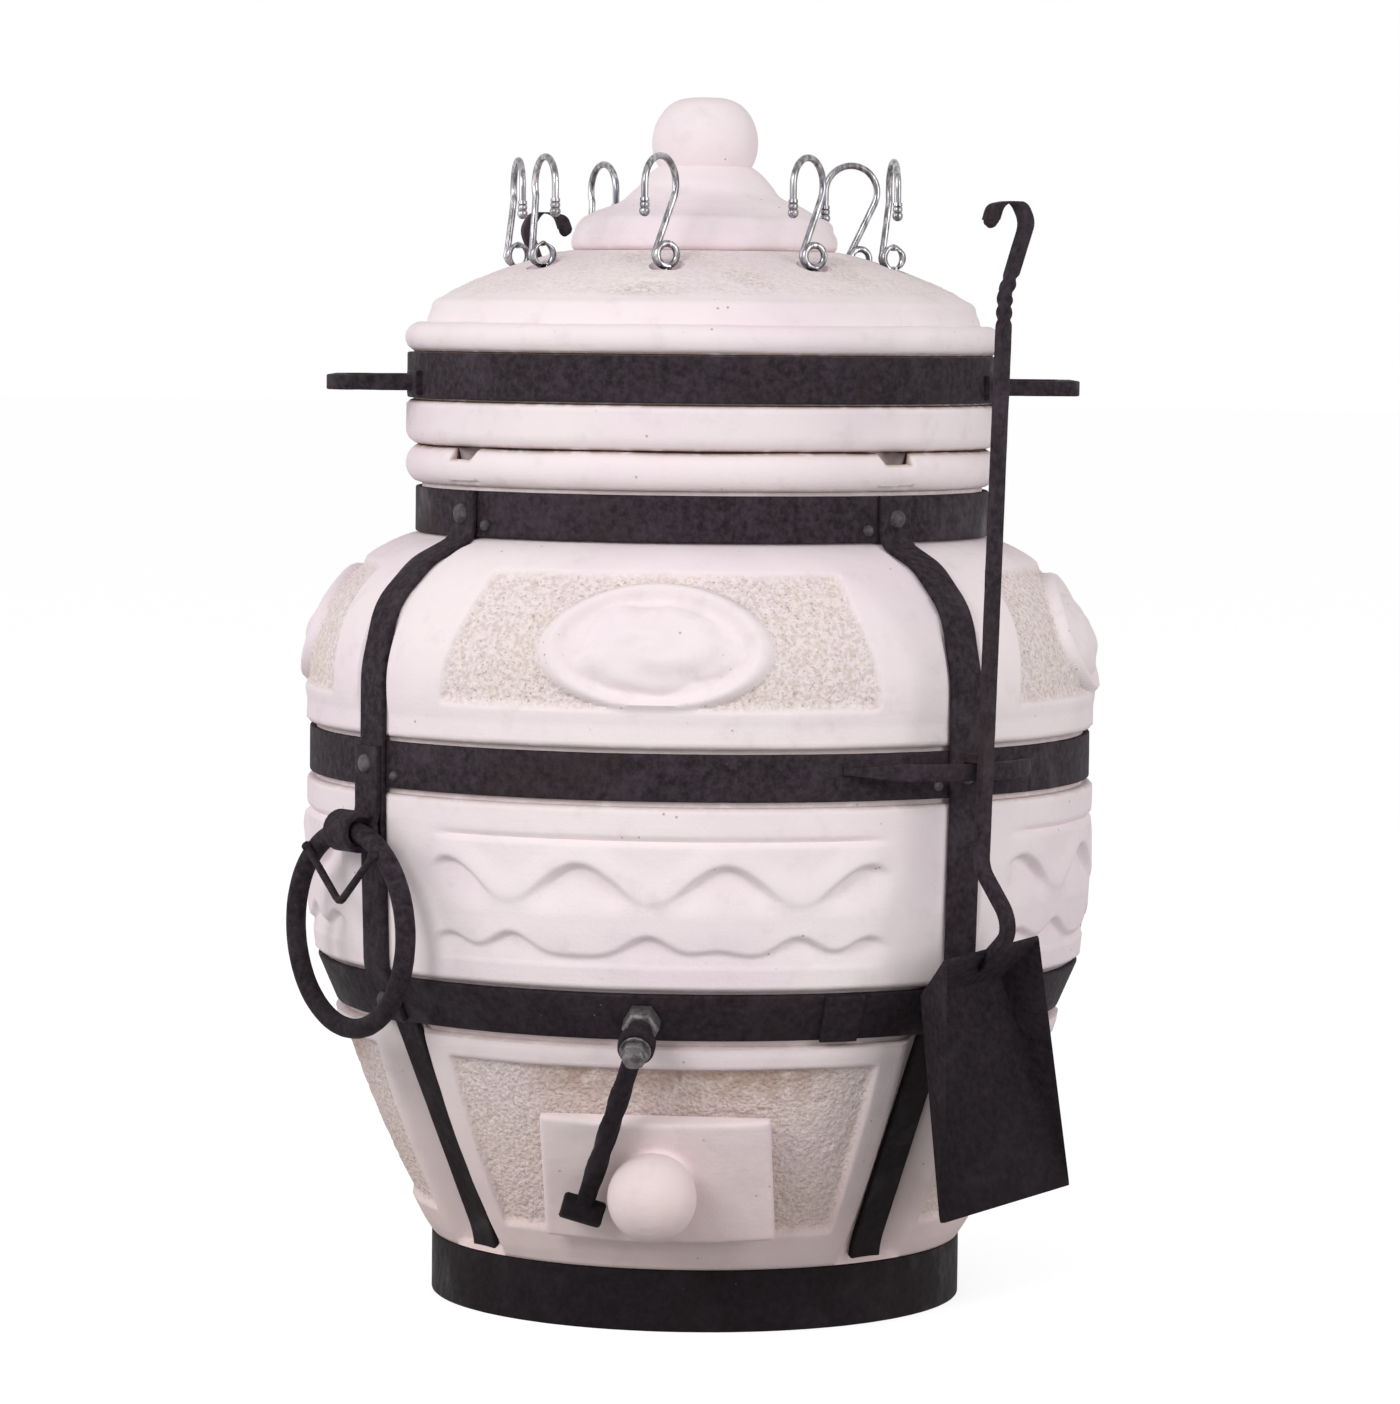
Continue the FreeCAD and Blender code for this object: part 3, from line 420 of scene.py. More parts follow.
def arc(start, middle, end, spacing):
    """Points of the circle through three (r, z) points, without its start."""
    (ax, ay), (bx, by), (cx, cy) = start, middle, end
    a, b, c = ax ** 2 + ay ** 2, bx ** 2 + by ** 2, cx ** 2 + cy ** 2
    twice = 2 * (ax * (by - cy) + bx * (cy - ay) + cx * (ay - by))
    centre_r = (a * (by - cy) + b * (cy - ay) + c * (ay - by)) / twice
    centre_z = (a * (cx - bx) + b * (ax - cx) + c * (bx - ax)) / twice
    radius = math.hypot(ax - centre_r, ay - centre_z)
    first, last = math.atan2(ay - centre_z, ax - centre_r), math.atan2(cy - centre_z, cx - centre_r)
    turns_left = (bx - ax) * (cy - ay) - (by - ay) * (cx - ax) > 0
    sweep = (last - first) % math.tau if turns_left else -((first - last) % math.tau)
    count = max(2, round(abs(sweep) * radius / spacing))
    turns = [first + sweep * i / count for i in range(1, count + 1)]
    return [(centre_r + radius * math.cos(turn), centre_z + radius * math.sin(turn)) for turn in turns]


def profile(start, *steps):
    """(r, z) points of an outline; a step is (end, spacing) or (middle, end, spacing)."""
    points = [start]
    for step in steps:
        if len(step) == 3:
            points += arc(points[-1], *step)
        else:
            (r, z), spacing = step
            r0, z0 = points[-1]
            count = max(1, round(math.hypot(r - r0, z - z0) / spacing))
            points += [(r0 + (r - r0) * i / count, z0 + (z - z0) * i / count)
                       for i in range(1, count + 1)]
    return np.array(points)


def profile_normals(points):
    """Unit normals of an outline that runs upwards on its outside."""
    ahead = np.gradient(points, axis=0)
    normals = np.stack([ahead[:, 1], -ahead[:, 0]], axis=1)
    return normals / np.maximum(np.linalg.norm(normals, axis=1, keepdims=True), 1e-9)


def smooth(low, high, value):
    """0 up to low, 1 past high, smooth between; runs the other way when low is the greater."""
    share = np.clip((value - low) / (high - low), 0.0, 1.0)
    return share * share * (3.0 - 2.0 * share)


def wobble(grid, wave, seed):
    """Smooth noise from -1 to 1 at each point of a grid in mm."""
    shift = Vector((17.0 * seed, 5.0 * seed, 3.0 * seed))
    flat = grid.reshape(-1, 3) / wave
    values = [noise.noise(Vector(point) + shift) for point in flat.tolist()]
    return np.array(values).reshape(grid.shape[:2])


def revolved_grid(points, angles):
    """Grid of (rows, columns) from an outline and the angles of its columns."""
    turn = np.radians(angles)
    r, z = points[:, :1], points[:, 1:]
    return np.stack([r * np.sin(turn), -r * np.cos(turn), z + 0 * turn], axis=-1)


def raised(grid, normals, relief, angles):
    """A revolved grid moved along the normals of its outline."""
    turn = np.radians(angles)
    way = np.stack([normals[:, :1] * np.sin(turn), -normals[:, :1] * np.cos(turn),
                    normals[:, 1:] + 0 * turn], axis=-1)
    return grid + relief[..., None] * way


def turned_solid(outline, columns, matrix, dents=0.0, wave=10.0, seed=1):
    """Small turned solid about local Z from (r, z) points in mm, slightly dented, placed by a matrix."""
    grid = revolved_grid(np.array(outline, float), np.arange(columns) * 360.0 / columns)
    if dents:
        grid = grid * (1 + dents * wobble(grid, wave, seed)[..., None] / max(p[0] for p in outline))
    mesh, _ = surface(grid, True, True)
    mesh.transform(Matrix.Scale(1 / MM, 4))
    mesh.transform(matrix)
    return mesh


# --- bars swept by geometry nodes -----------------------------------------------------------
def path_object(name, points, closed, radii=None):
    curve = bpy.data.curves.new(name, "CURVE")
    curve.dimensions = "3D"
    spline = curve.splines.new("POLY")
    spline.points.add(len(points) - 1)
    for number, (knot, point) in enumerate(zip(spline.points, points)):
        knot.co = (*point, 1.0)
        knot.radius = 1.0 if radii is None else radii[number]
    spline.use_cyclic_u = closed
    holder = bpy.data.objects.new(name, curve)
    bpy.context.collection.objects.link(holder)
    return holder


def flat_section(wide, thick, corner=1.2):
    """Rolled bar: wide along the side direction, with worn corners and a few points across each face."""
    half_w, half_t = (wide / 2 - corner) * MM, (thick / 2 - corner) * MM
    points = []
    for quarter, (sx, sy) in enumerate(((1, 1), (-1, 1), (-1, -1), (1, -1))):
        for step in range(4):
            turn = 90 * quarter + 30 * step
            points.append((sx * half_w + corner * MM * cos(turn), sy * half_t + corner * MM * sin(turn), 0))
        run = (half_w, half_t)[quarter % 2] * 2
        if run > 5 * MM:
            x, y, _ = points[-1]
            ahead_x, ahead_y = ((-1, 0), (0, -1), (1, 0), (0, 1))[quarter]
            points += [(x + ahead_x * run * share, y + ahead_y * run * share, 0)
                       for share in (0.12, 0.5, 0.88)]
    return points


def round_section(radius, count=20):
    turns = [number * 360 / count for number in range(count)]
    return [(radius * MM * cos(turn), radius * MM * sin(turn), 0) for turn in turns]


def bar_tree():
    """Sweeps a section along the path, twists part of it, dents it lightly and gives it its finish."""
    tree = bpy.data.node_groups.new("forged_bar", "GeometryNodeTree")
    sockets = (("Geometry", "Geometry"), ("Section", "Object"), ("Side", "Vector"), ("Step", "Float"),
               ("Lean", "Float"), ("Twist", "Float"), ("Twist From", "Float"), ("Twist To", "Float"),
               ("Dent Depth", "Float"), ("Dent Size", "Float"), ("Seed", "Float"), ("Finish", "Material"))
    for label, kind in sockets:
        tree.interface.new_socket(label, in_out="INPUT", socket_type=f"NodeSocket{kind}")
    tree.interface.new_socket("Geometry", in_out="OUTPUT", socket_type="NodeSocketGeometry")
    given = tree.nodes.new("NodeGroupInput").outputs

    path = add(tree, "GeometryNodeResampleCurve", {"Curve": given["Geometry"], "Length": given["Step"]},
               mode="LENGTH")
    path = add(tree, "GeometryNodeSetCurveNormal", {"Curve": path.outputs[0], "Normal": given["Side"]},
               mode="FREE")
    along = add(tree, "GeometryNodeSplineParameter").outputs["Factor"]
    share = add(tree, "ShaderNodeMapRange", {"Value": along, "From Min": given["Twist From"],
                                             "From Max": given["Twist To"]}).outputs[0]
    angle = calc(tree, "ADD", given["Lean"], calc(tree, "MULTIPLY", share, given["Twist"]))
    path = add(tree, "GeometryNodeSetCurveTilt", {"Curve": path.outputs[0], "Tilt": angle})
    section = add(tree, "GeometryNodeObjectInfo", {"Object": given["Section"]}).outputs["Geometry"]
    size = add(tree, "GeometryNodeInputRadius").outputs[0]
    swept = add(tree, "GeometryNodeCurveToMesh", {"Curve": path.outputs[0], "Profile Curve": section,
                                                  "Scale": size, "Fill Caps": True})

    place = add(tree, "GeometryNodeInputPosition").outputs[0]
    waves = calc(tree, "DIVIDE", 1.0, given["Dent Size"])
    hammer = add(tree, "ShaderNodeTexNoise", {"Vector": place, "W": given["Seed"], "Scale": waves,
                                              "Detail": 2.0}, noise_dimensions="4D").outputs[0]
    depth = calc(tree, "MULTIPLY", calc(tree, "SUBTRACT", hammer, 0.5), given["Dent Depth"])
    normal = add(tree, "GeometryNodeInputNormal").outputs[0]
    shift = add(tree, "ShaderNodeVectorMath", {0: normal, "Scale": depth}, operation="SCALE").outputs[0]
    dented = add(tree, "GeometryNodeSetPosition", {"Geometry": swept.outputs[0], "Offset": shift})
    real = add(tree, "GeometryNodeRealizeInstances", {"Geometry": dented.outputs[0]})
    done = add(tree, "GeometryNodeSetMaterial", {"Geometry": real.outputs[0], "Material": given["Finish"]})
    tree.links.new(done.outputs[0], tree.nodes.new("NodeGroupOutput").inputs[0])
    return tree


def grown(tree, carrier, **inputs):
    """Plain mesh of a node tree on an object; the object is removed."""
    modifier = carrier.modifiers.new("grown", "NODES")
    modifier.node_group = tree
    for item in tree.interface.items_tree:
        key = item.name.lower().replace(" ", "_")
        if item.in_out == "INPUT" and key in inputs:
            modifier[item.identifier] = inputs[key]
    graph = bpy.context.evaluated_depsgraph_get()
    mesh = bpy.data.meshes.new_from_object(carrier.evaluated_get(graph))
    bpy.data.objects.remove(carrier)
    return mesh


BAR_TREE = bar_tree()


def bar(points, section, side, closed=False, radii=None, step=3.0, lean=0.0, turns=0.0, twist=(0.0, 1.0),
        dents=0.35, seed=1.0, finish="forged_iron"):
    """Mesh of a bar along points in metres; lean is in degrees and turns are whole turns of twist."""
    outline = path_object("section", section, True)
    path = path_object("path", points, closed, radii)
    mesh = grown(BAR_TREE, path, section=outline, side=tuple(side), step=step * MM, lean=math.radians(lean),
                 twist=turns * math.tau, twist_from=twist[0], twist_to=twist[1], dent_depth=dents * MM,
                 dent_size=14.0 * MM, seed=seed, finish=FINISH[finish])
    bpy.data.objects.remove(outline)
    return mesh


def filleted(corners, radii, spacing=3.0):
    """Points in mm along straight runs joined by tangent arcs."""
    corners = [Vector(corner) for corner in corners]
    points = [corners[0]]
    for before, corner, after, radius in zip(corners, corners[1:], corners[2:], radii):
        back, ahead = (before - corner).normalized(), (after - corner).normalized()
        half = back.angle(ahead) / 2
        bisector = (back + ahead).normalized()
        centre = corner + bisector * (radius / math.sin(half))
        first = corner + back * (radius / math.tan(half)) - centre
        last = corner + ahead * (radius / math.tan(half)) - centre
        count = max(3, round(radius * first.angle(last) / spacing))
        for number in range(count + 1):
            points.append(centre + first.slerp(last, number / count) * radius)
    points.append(corners[-1])
    return points


def circle_points(radius, z, count=240):
    return [at(number * 360 / count, 0, radius, z) for number in range(count)]


# --- clay pot -------------------------------------------------------------------------------
def strap_path(offset=0.0):
    """Upper strap's (x, r, z) line: neck hoop, shoulder, belly hoop, lower hoop."""
    corners = [(NECK_R, NECK_TOP), (NECK_R, 505.2), (223.0, 491.3), (250.0, 465.0), (BELLY_R, 423.0),
               (BELLY_R, 335.0), (lower_hoop_face(232.0), 232.0), (lower_hoop_face(198.0), 198.0)]
    line = filleted([(0, r, z) for r, z in corners], [14.0, 45.0, 45.0, 60.0, 200.0, 30.0])
    return offset_line(line, offset)


def lower_strap_path(offset=0.0):
    """Lower strap's line: straight from behind the lower hoop into the base hoop."""
    top_z = 223.0
    run = math.tan(math.radians(SLOPE))
    inner_r = BASE_R - 2 * BAND - 0.5
    top_r = lower_hoop_face(top_z) - 2 * BAND / cos(SLOPE) - 0.4
    corners = [(0, top_r, top_z), (0, inner_r, top_z - (top_r - inner_r) / run), (0, inner_r, 8.0)]
    return offset_line(filleted(corners, [60.0]), offset)


def offset_line(points, offset):
    """A line at the front moved outwards from the wall; it runs downwards."""
    moved = []
    for before, here, after in zip([points[0]] + points, points, points[1:] + [points[-1]]):
        ahead = (after - before).normalized()
        moved.append(here + Vector((0, -ahead.z, ahead.y)) * offset)
    return moved


def depth_to(line, points, normals):
    """How far each wall point has to sink so that the strap's back lies clear of it."""
    corners = np.array([(p.y, p.z) for p in line])
    along = np.concatenate([[0.0], np.cumsum(np.linalg.norm(np.diff(corners, axis=0), axis=1))])
    places = np.arange(0.0, along[-1], 1.5)
    line = np.stack([np.interp(places, along, column) for column in corners.T], axis=1)
    ahead = np.gradient(line, axis=0)
    out = np.stack([-ahead[:, 1], ahead[:, 0]], axis=1)
    out /= np.linalg.norm(out, axis=1, keepdims=True)
    depths = np.zeros(len(points))
    for number, point in enumerate(points):
        gaps = np.linalg.norm(line - point, axis=1)
        nearest = int(gaps.argmin())
        if 0 < nearest < len(line) - 1 or gaps[nearest] < 6.0:
            above = float((point - line[nearest]) @ out[nearest])
            slant = max(0.5, float(normals[number] @ out[nearest]))
            depths[number] = max(0.0, (above + 0.4) / slant)
    return depths


GROOVE_Z = 323.5
SWAG_FOOT, SWAG_REPEAT = 283.5, 20.7       # height of the swags' low points, degrees from one to the next
APRON_FOOT = 250.0
APRON_POINTS = ((-31.0, 10.0), (-20.6, 13.0), (-0.5, 13.0), (9.2, 4.5), (20.6, 13.0), (31.2, 12.0))
MEDALLION_Z, MEDALLION_HALF_WIDE, MEDALLION_HALF_TALL = 444.5, 74.0, 40.5
MM_PER_DEGREE = 4.40                       # along the belly where the medallion is


def scallops(a, z):
    """Two carved rows of hanging cloth below a groove: height in mm at angle a from the panel's middle."""
    inside = 1 - smooth(30.5, 35.0, np.abs(a))
    groove = -2.6 * np.exp(-((z - GROOVE_Z) / 1.9) ** 2) * (1 - smooth(29.0, 34.5, np.abs(a)))

    edge_1 = SWAG_FOOT + 12.0 - 12.0 * np.cos(np.radians(a * 360 / SWAG_REPEAT))
    swag = 0.2 + 2.3 * smooth(edge_1 + 24.0, edge_1 + 3.0, z)
    deep_1 = -1.5 + 6.2 * smooth(284.0, 301.0, edge_1)
    rise_1 = smooth(0.0, 1.0, (edge_1 - z) / np.maximum(edge_1 - 274.0, 4.0))
    below_1 = -deep_1 + (deep_1 + 1.4) * rise_1
    step_1 = smooth(-2.8, 2.8, z - edge_1)
    row_1 = step_1 * swag + (1 - step_1) * below_1

    edge_2 = APRON_FOOT + sum(high * np.exp(-((a - middle) / 4.0) ** 2) for middle, high in APRON_POINTS)
    apron = 1.9 - 0.5 * smooth(262.0, 276.0, z)
    deep_2 = 1.6 + 2.4 * smooth(252.0, 262.0, edge_2)
    rise_2 = smooth(0.0, 1.0, (edge_2 - z) / np.maximum(edge_2 - 243.0, 3.0))
    below_2 = -deep_2 + (deep_2 - 0.8) * rise_2
    step_2 = smooth(-2.4, 2.4, z - edge_2)
    row_2 = step_2 * apron + (1 - step_2) * below_2

    split = smooth(271.0, 275.5, z)
    carved = split * row_1 + (1 - split) * row_2
    band = smooth(243.5, 245.5, z) * (1 - smooth(320.5, 322.5, z))
    return inside * band * carved + groove


def medallion(a, z):
    """Oval rim with a softly lobed boss; returns its height over the field and where it is."""
    x, up = a * MM_PER_DEGREE / MEDALLION_HALF_WIDE, (z - MEDALLION_Z) / MEDALLION_HALF_TALL
    out, turn = np.hypot(x, up), np.arctan2(up, x)
    lobes = 0.64 + 0.05 * np.cos(3 * turn + 0.5) + 0.045 * np.cos(5 * turn + 1.2) + 0.02 * np.cos(9 * turn)
    rim = smooth(1.03, 0.94, out) * (FIELD_DEPTH + 0.2) + 2.6 * np.exp(-((out - 0.88) / 0.075) ** 2)
    dish = -3.6 * smooth(0.87, 0.76, out)
    boss = 7.2 * np.clip(1 - (out / (lobes + 0.04)) ** 2, 0, 1) ** 0.55
    swirl = np.sin(2.0 * turn - 11.0 * out) * smooth(0.68, 0.5, out) * smooth(0.05, 0.22, out)
    return rim + dish + boss + swirl, smooth(1.05, 0.98, out)


def sunk_field(a, z, foot, head, inner, outer):
    """1 in a field between two soft edges in height and up to a soft edge in angle, else 0."""
    return smooth(*foot, z) * (1 - smooth(*head, z)) * (1 - smooth(inner, outer, np.abs(a)))


def carved_relief(a, z):
    """Height of the carving over the plain wall, how rough each place is, and where the lower field is."""
    half_top = 32.0 - 3.0 * smooth(410.0, 489.0, z)
    half_low = 33.5 + 1.5 * smooth(66.0, 177.0, z)
    upper = sunk_field(a, z, (404.5, 409.0), (486.5, 490.5), half_top - 0.6, half_top + 0.5)
    lower = sunk_field(a, z, (64.0, 67.5), (175.0, 178.5), half_low - 0.7, half_low + 0.6)
    oval, on_oval = medallion(a, z)
    relief = -FIELD_DEPTH * upper + np.where(upper > 0, upper * oval, 0.0)
    relief = relief - FIELD_DEPTH * lower + scallops(a, z)
    return relief, np.maximum(upper * (1 - on_oval), lower), lower


FOOT_WALL = (
    ((172.0, 4.0), 60.0), ((172.5, 40.0), 18.0), ((176.0, 40.4), 4.0), ((182.0, 49.5), 3.0),
    ((216.5, 120.0), (240.4, 185.0), 2.3), ((241.3, 190.6), 2.0), ((238.0, 192.3), 2.0))
BELLY_WALL = (
    ((lower_hoop_face(192.6) - 4.6, 192.6), 2.0), ((lower_hoop_face(229.0) - 4.6, 229.0), 5.0),
    ((253.0, 229.2), 2.0), ((255.6, 231.4), 1.6), ((257.0, 245.0), (259.8, 275.0), 1.5),
    ((262.0, 331.0), 1.5), ((262.0, 342.6), 2.0), ((260.4, 344.7), 1.3), ((255.6, 345.1), 2.0),
    ((255.6, 381.4), 12.0), ((260.4, 381.8), 2.0), ((262.0, 383.8), 1.3), ((262.0, 396.0), 2.2),
    ((257.0, 447.0), (241.0, 473.0), 1.9), ((222.0, 491.0), (188.0, 506.6), 2.2))
RIM_END = (188.5, SEAM_Z)
NECK_WALL = (
    ((186.4, 507.4), 1.6), ((186.4, 539.8), 8.0), ((189.0, 540.4), 1.5),
    ((197.0, 553.0), (191.0, 563.6), 2.0), (RIM_END, 1.5), ((142.0, SEAM_Z), 4.0))
INNER_WALL = (
    ((142.0, 522.0), 8.0), ((194.0, 470.0), (214.0, 390.0), 9.0), ((212.0, 300.0), 9.0),
    ((201.0, 220.0), (172.0, 152.0), 9.0), ((122.0, 152.0), 12.0), ((122.0, 132.0), 8.0),
    ((150.0, 132.0), 12.0), ((138.0, 44.0), 12.0), ((0.0, 44.0), 60.0))
POT_WALL = profile((0.0, 4.0), *FOOT_WALL, *BELLY_WALL, *NECK_WALL, *INNER_WALL)
RIM_ROW = int(np.argmin(np.hypot(POT_WALL[:, 0] - RIM_END[0], POT_WALL[:, 1] - RIM_END[1])))
OPEN_WALL = ((0.0, 191.0), (231.0, 343.0), (383.0, 506.0), (541.0, 600.0))    # heights free of hoops
HOOP_EDGES = (192.0, 229.6, 344.6, 382.2, 507.2, 540.2)


def strap_channels(relief, across, outside):
    """The relief without what lies under the straps, and how far the foot sinks under the lower strap."""
    z = POT_WALL[:, 1:]
    upper_depth = depth_to(strap_path(), POT_WALL, profile_normals(POT_WALL))[:, None] * (z > 228.0)
    foot_way = np.tile((cos(SLOPE), -sin(SLOPE)), (len(POT_WALL), 1))
    lower_depth = depth_to(lower_strap_path(), POT_WALL, foot_way)[:, None] * (z < 226.0)
    edge = STRAP_WIDE / 2 + 0.8
    at_upper = np.where(outside & (upper_depth > 0), 1 - smooth(edge, edge + 2.6, across), 0.0)
    at_lower = np.where(outside & (lower_depth > 0), 1 - smooth(edge, edge + 17.0, across), 0.0)
    relief = relief * (1 - at_upper) - upper_depth * at_upper
    return relief * (1 - at_lower), lower_depth * at_lower


def pot_quarter(middle, half, seed):
    """One side of the pot, from strap to strap, with its carving and its channels for the straps."""
    columns = 2 * round(half / 0.44) + 1
    a = np.linspace(-half, half, columns)[None, :]
    r, z = POT_WALL[:, :1], POT_WALL[:, 1:]
    normals = profile_normals(POT_WALL)
    outside = (np.arange(len(POT_WALL)) <= RIM_ROW)[:, None] & (z > 41.0)
    free = outside & np.any([(z > low) & (z < high) for low, high in OPEN_WALL], axis=0)
    relief, grain, lower = carved_relief(a, z)
    grain = np.where(free, grain, 0.0)
    base = revolved_grid(POT_WALL, middle + a[0])
    soft = wobble(base, 60.0, seed) * 0.9 + wobble(base, 16.0, seed + 1) * 0.28
    rough = grain * wobble(base, 4.2, seed + 2) * 0.75
    relief = np.where(free, relief, 0.0) + np.where(free, soft + rough, 0.0)
    across = np.abs(r * np.sin(np.radians(half - np.abs(a))))
    relief, sunk = strap_channels(relief, across, outside)

    moved_r = r + normals[:, :1] * relief - cos(SLOPE) * sunk
    moved_z = z + normals[:, 1:] * relief + sin(SLOPE) * sunk
    notch = (1 - smooth(9.5, 13.5, across)) * (z > 556.5) * (r > 172.0)
    moved_z = moved_z - notch * (moved_z - 557.5)
    turn = np.radians(middle + a)
    grid = np.stack([moved_r * np.sin(turn), -moved_r * np.cos(turn), moved_z], axis=-1)

    warm = lower * smooth(120.0, 176.0, z) ** 3 * (1 - smooth(16.0, 30.0, np.abs(a - 4.0)))
    # Painted shade: dark lines in the seam under the lid, in the notches beside the straps and along the
    # hoops' edges, added to the real brown stain of the lower field.
    seam_shade = np.exp(-((z - SEAM_Z) / 1.6) ** 2) * (r > 170.0) + notch * 0.75
    hoop_edge_shade = sum(np.exp(-((z - edge) / 1.5) ** 2) for edge in HOOP_EDGES)
    stain = np.clip(0.75 * warm + seam_shade + 0.35 * hoop_edge_shade, 0, 1) * outside
    mesh, used = surface(grid, False, True)
    paint(mesh, used, grain=np.broadcast_to(grain, grid.shape[:2]),
          stain=np.broadcast_to(stain, grid.shape[:2]))
    return mesh


def block(low, high, matrix=Matrix.Identity(4)):
    """Box between two corners, placed by a matrix."""
    body = bmesh.new()
    bmesh.ops.create_cube(body, size=1.0)
    size, centre = Vector(high) - Vector(low), (Vector(high) + Vector(low)) / 2
    place = matrix @ Matrix.Translation(centre) @ Matrix.Diagonal((*size, 1.0))
    bmesh.ops.transform(body, matrix=place, verts=body.verts)
    mesh = bpy.data.meshes.new("block")
    body.to_mesh(mesh)
    body.free()
    return mesh


def combined(mesh, other, operation):
    """Boolean of two closed meshes."""
    tool = bpy.data.objects.new("tool", other)
    bpy.context.collection.objects.link(tool)
    result = modified(mesh, ("BOOLEAN", {"object": tool, "operation": operation, "solver": "EXACT"}))
    bpy.data.objects.remove(tool)
    return result


def bitten(mesh, cutters):
    """The mesh without what the cutters, which overlap in pairs, take out of it."""
    cutter = cutters[0]
    for other in cutters[1:]:
        cutter = combined(cutter, other, "UNION")
    return combined(closed_outwards(mesh), closed_outwards(cutter), "DIFFERENCE")


def clay_pot():
    for number, (side, (middle, half)) in enumerate(SIDES.items()):
        mesh = pot_quarter(middle, half, 3 * number + 1)
        if side == "front":
            pocket = block((-56.0, -31.0, -34.0), (56.0, 31.0, 30.0), wall_matrix(*DOOR_WALL))
            duct = block((-52.0, -192.0, 84.0), (52.0, -120.0, 128.0), Matrix.Scale(MM, 4))
            mesh = bitten(mesh, [pocket, duct])
        finished(f"clay_pot_{side}", mesh, "oven", ["clay_pot"], "clay", 62.0)


# --- lid, cap and door ----------------------------------------------------------------------
LID_WALL = profile(
    (45.0, 694.0), ((90.0, 694.0), 4.0), ((131.0, 682.5), (171.0, 664.6), 2.2), ((176.6, 661.5), 1.5),
    ((181.0, 656.0), (182.6, 650.0), 1.5), ((183.6, 646.6), 1.5), ((185.2, 645.4), 1.2),
    ((198.0, 637.0), (193.6, 627.8), 1.6), ((192.4, 626.8), 1.5), ((192.4, 595.2), 8.0),
    ((195.0, 594.2), 1.5), ((197.0, 592.0), 1.5), ((197.0, 575.0), 2.5),
    ((194.0, 568.0), (187.0, 565.3), 1.8), ((150.0, 565.3), 5.0), ((150.0, 600.0), 7.0),
    ((118.0, 645.0), (58.0, 668.0), 7.0), ((45.0, 668.0), 6.0), ((45.0, 690.0), 6.0))
# Painted shade lines in the gaps at the flange, at the hoop and at the seam over the rim.
LID_EDGES = ((626.8, 1.4), (594.6, 1.2), (565.3, 1.4))      # height and width of the dark lines
SKEWER_HOLE, SKEWER_PIT = (7.0, 600.0), (11.5, 680.6)       # radius and floor


def clay_lid():
    """Domed lid with a rounded flange, rough between cap and shoulder, and eight skewer holes."""
    angles = np.arange(400) * 0.9
    r, z = LID_WALL[:, :1], LID_WALL[:, 1:]
    grid = revolved_grid(LID_WALL, angles)
    rough = smooth(663.0, 668.0, z) * (r > 86.0) * (z > 660.0)
    hidden = (np.abs(z - LID_HOOP_MIDDLE) < 18.0) | ((r < 150.5) & (z < 691.0))
    rings = 0.55 * np.sin((z - 626.0) * 0.62) * smooth(644.0, 650.0, z) * (1 - smooth(660.0, 668.0, z))
    relief = rings + wobble(grid, 70.0, 21) * 0.8 + wobble(grid, 15.0, 22) * 0.3
    relief = np.where(hidden, 0.0, relief + rough * wobble(grid, 5.0, 23) * 0.7)
    relief = relief * smooth(565.3, 572.0, z) * (1 - smooth(692.0, 694.0, z))
    grid = raised(grid, -profile_normals(LID_WALL), relief, angles)
    worn = smooth(0.1, 0.55, wobble(grid, 40.0, 24)) * 0.45
    # Painted shade lines along these edges.
    stain = sum(np.exp(-((z - edge) / width) ** 2) for edge, width in LID_EDGES) * (r > 180.0)
    mesh, used = surface(grid, True, False)
    paint(mesh, used, grain=rough * (0.35 + worn), stain=np.broadcast_to(stain, grid.shape[:2]))

    top = 712.0
    cutters = []
    for angle in SKEWER_ANGLES:
        spot = Matrix.Translation(at(angle, 0, SKEWER_R, 0)) @ Matrix.Scale(MM, 4)
        for radius, low in (SKEWER_HOLE, SKEWER_PIT):
            cutters.append(turned_solid([(0, low), (radius, low), (radius, top), (0, top)], 24, spot))
    finished("lid_clay", bitten(mesh, cutters), "lid", ["lid_shell"], "clay", 62.0)


CAP_WALL = profile(
    (0.0, 676.0), ((42.0, 676.0), 9.0), ((42.0, 694.2), 6.0), ((86.5, 694.2), 5.0), ((88.0, 696.0), 1.5),
    ((88.6, 701.0), (86.0, 707.0), 1.6), ((83.5, 713.5), (78.0, 717.0), 1.6), ((61.0, 725.0), 1.8),
    ((49.0, 732.0), (42.0, 740.0), 1.8), ((36.0, 746.0), (30.5, 750.0), 1.6),
    ((35.0, 771.0), (24.0, 791.0), 1.8), ((15.5, 794.9), (6.0, 796.0), 1.8), ((0.0, 796.0), 3.0))


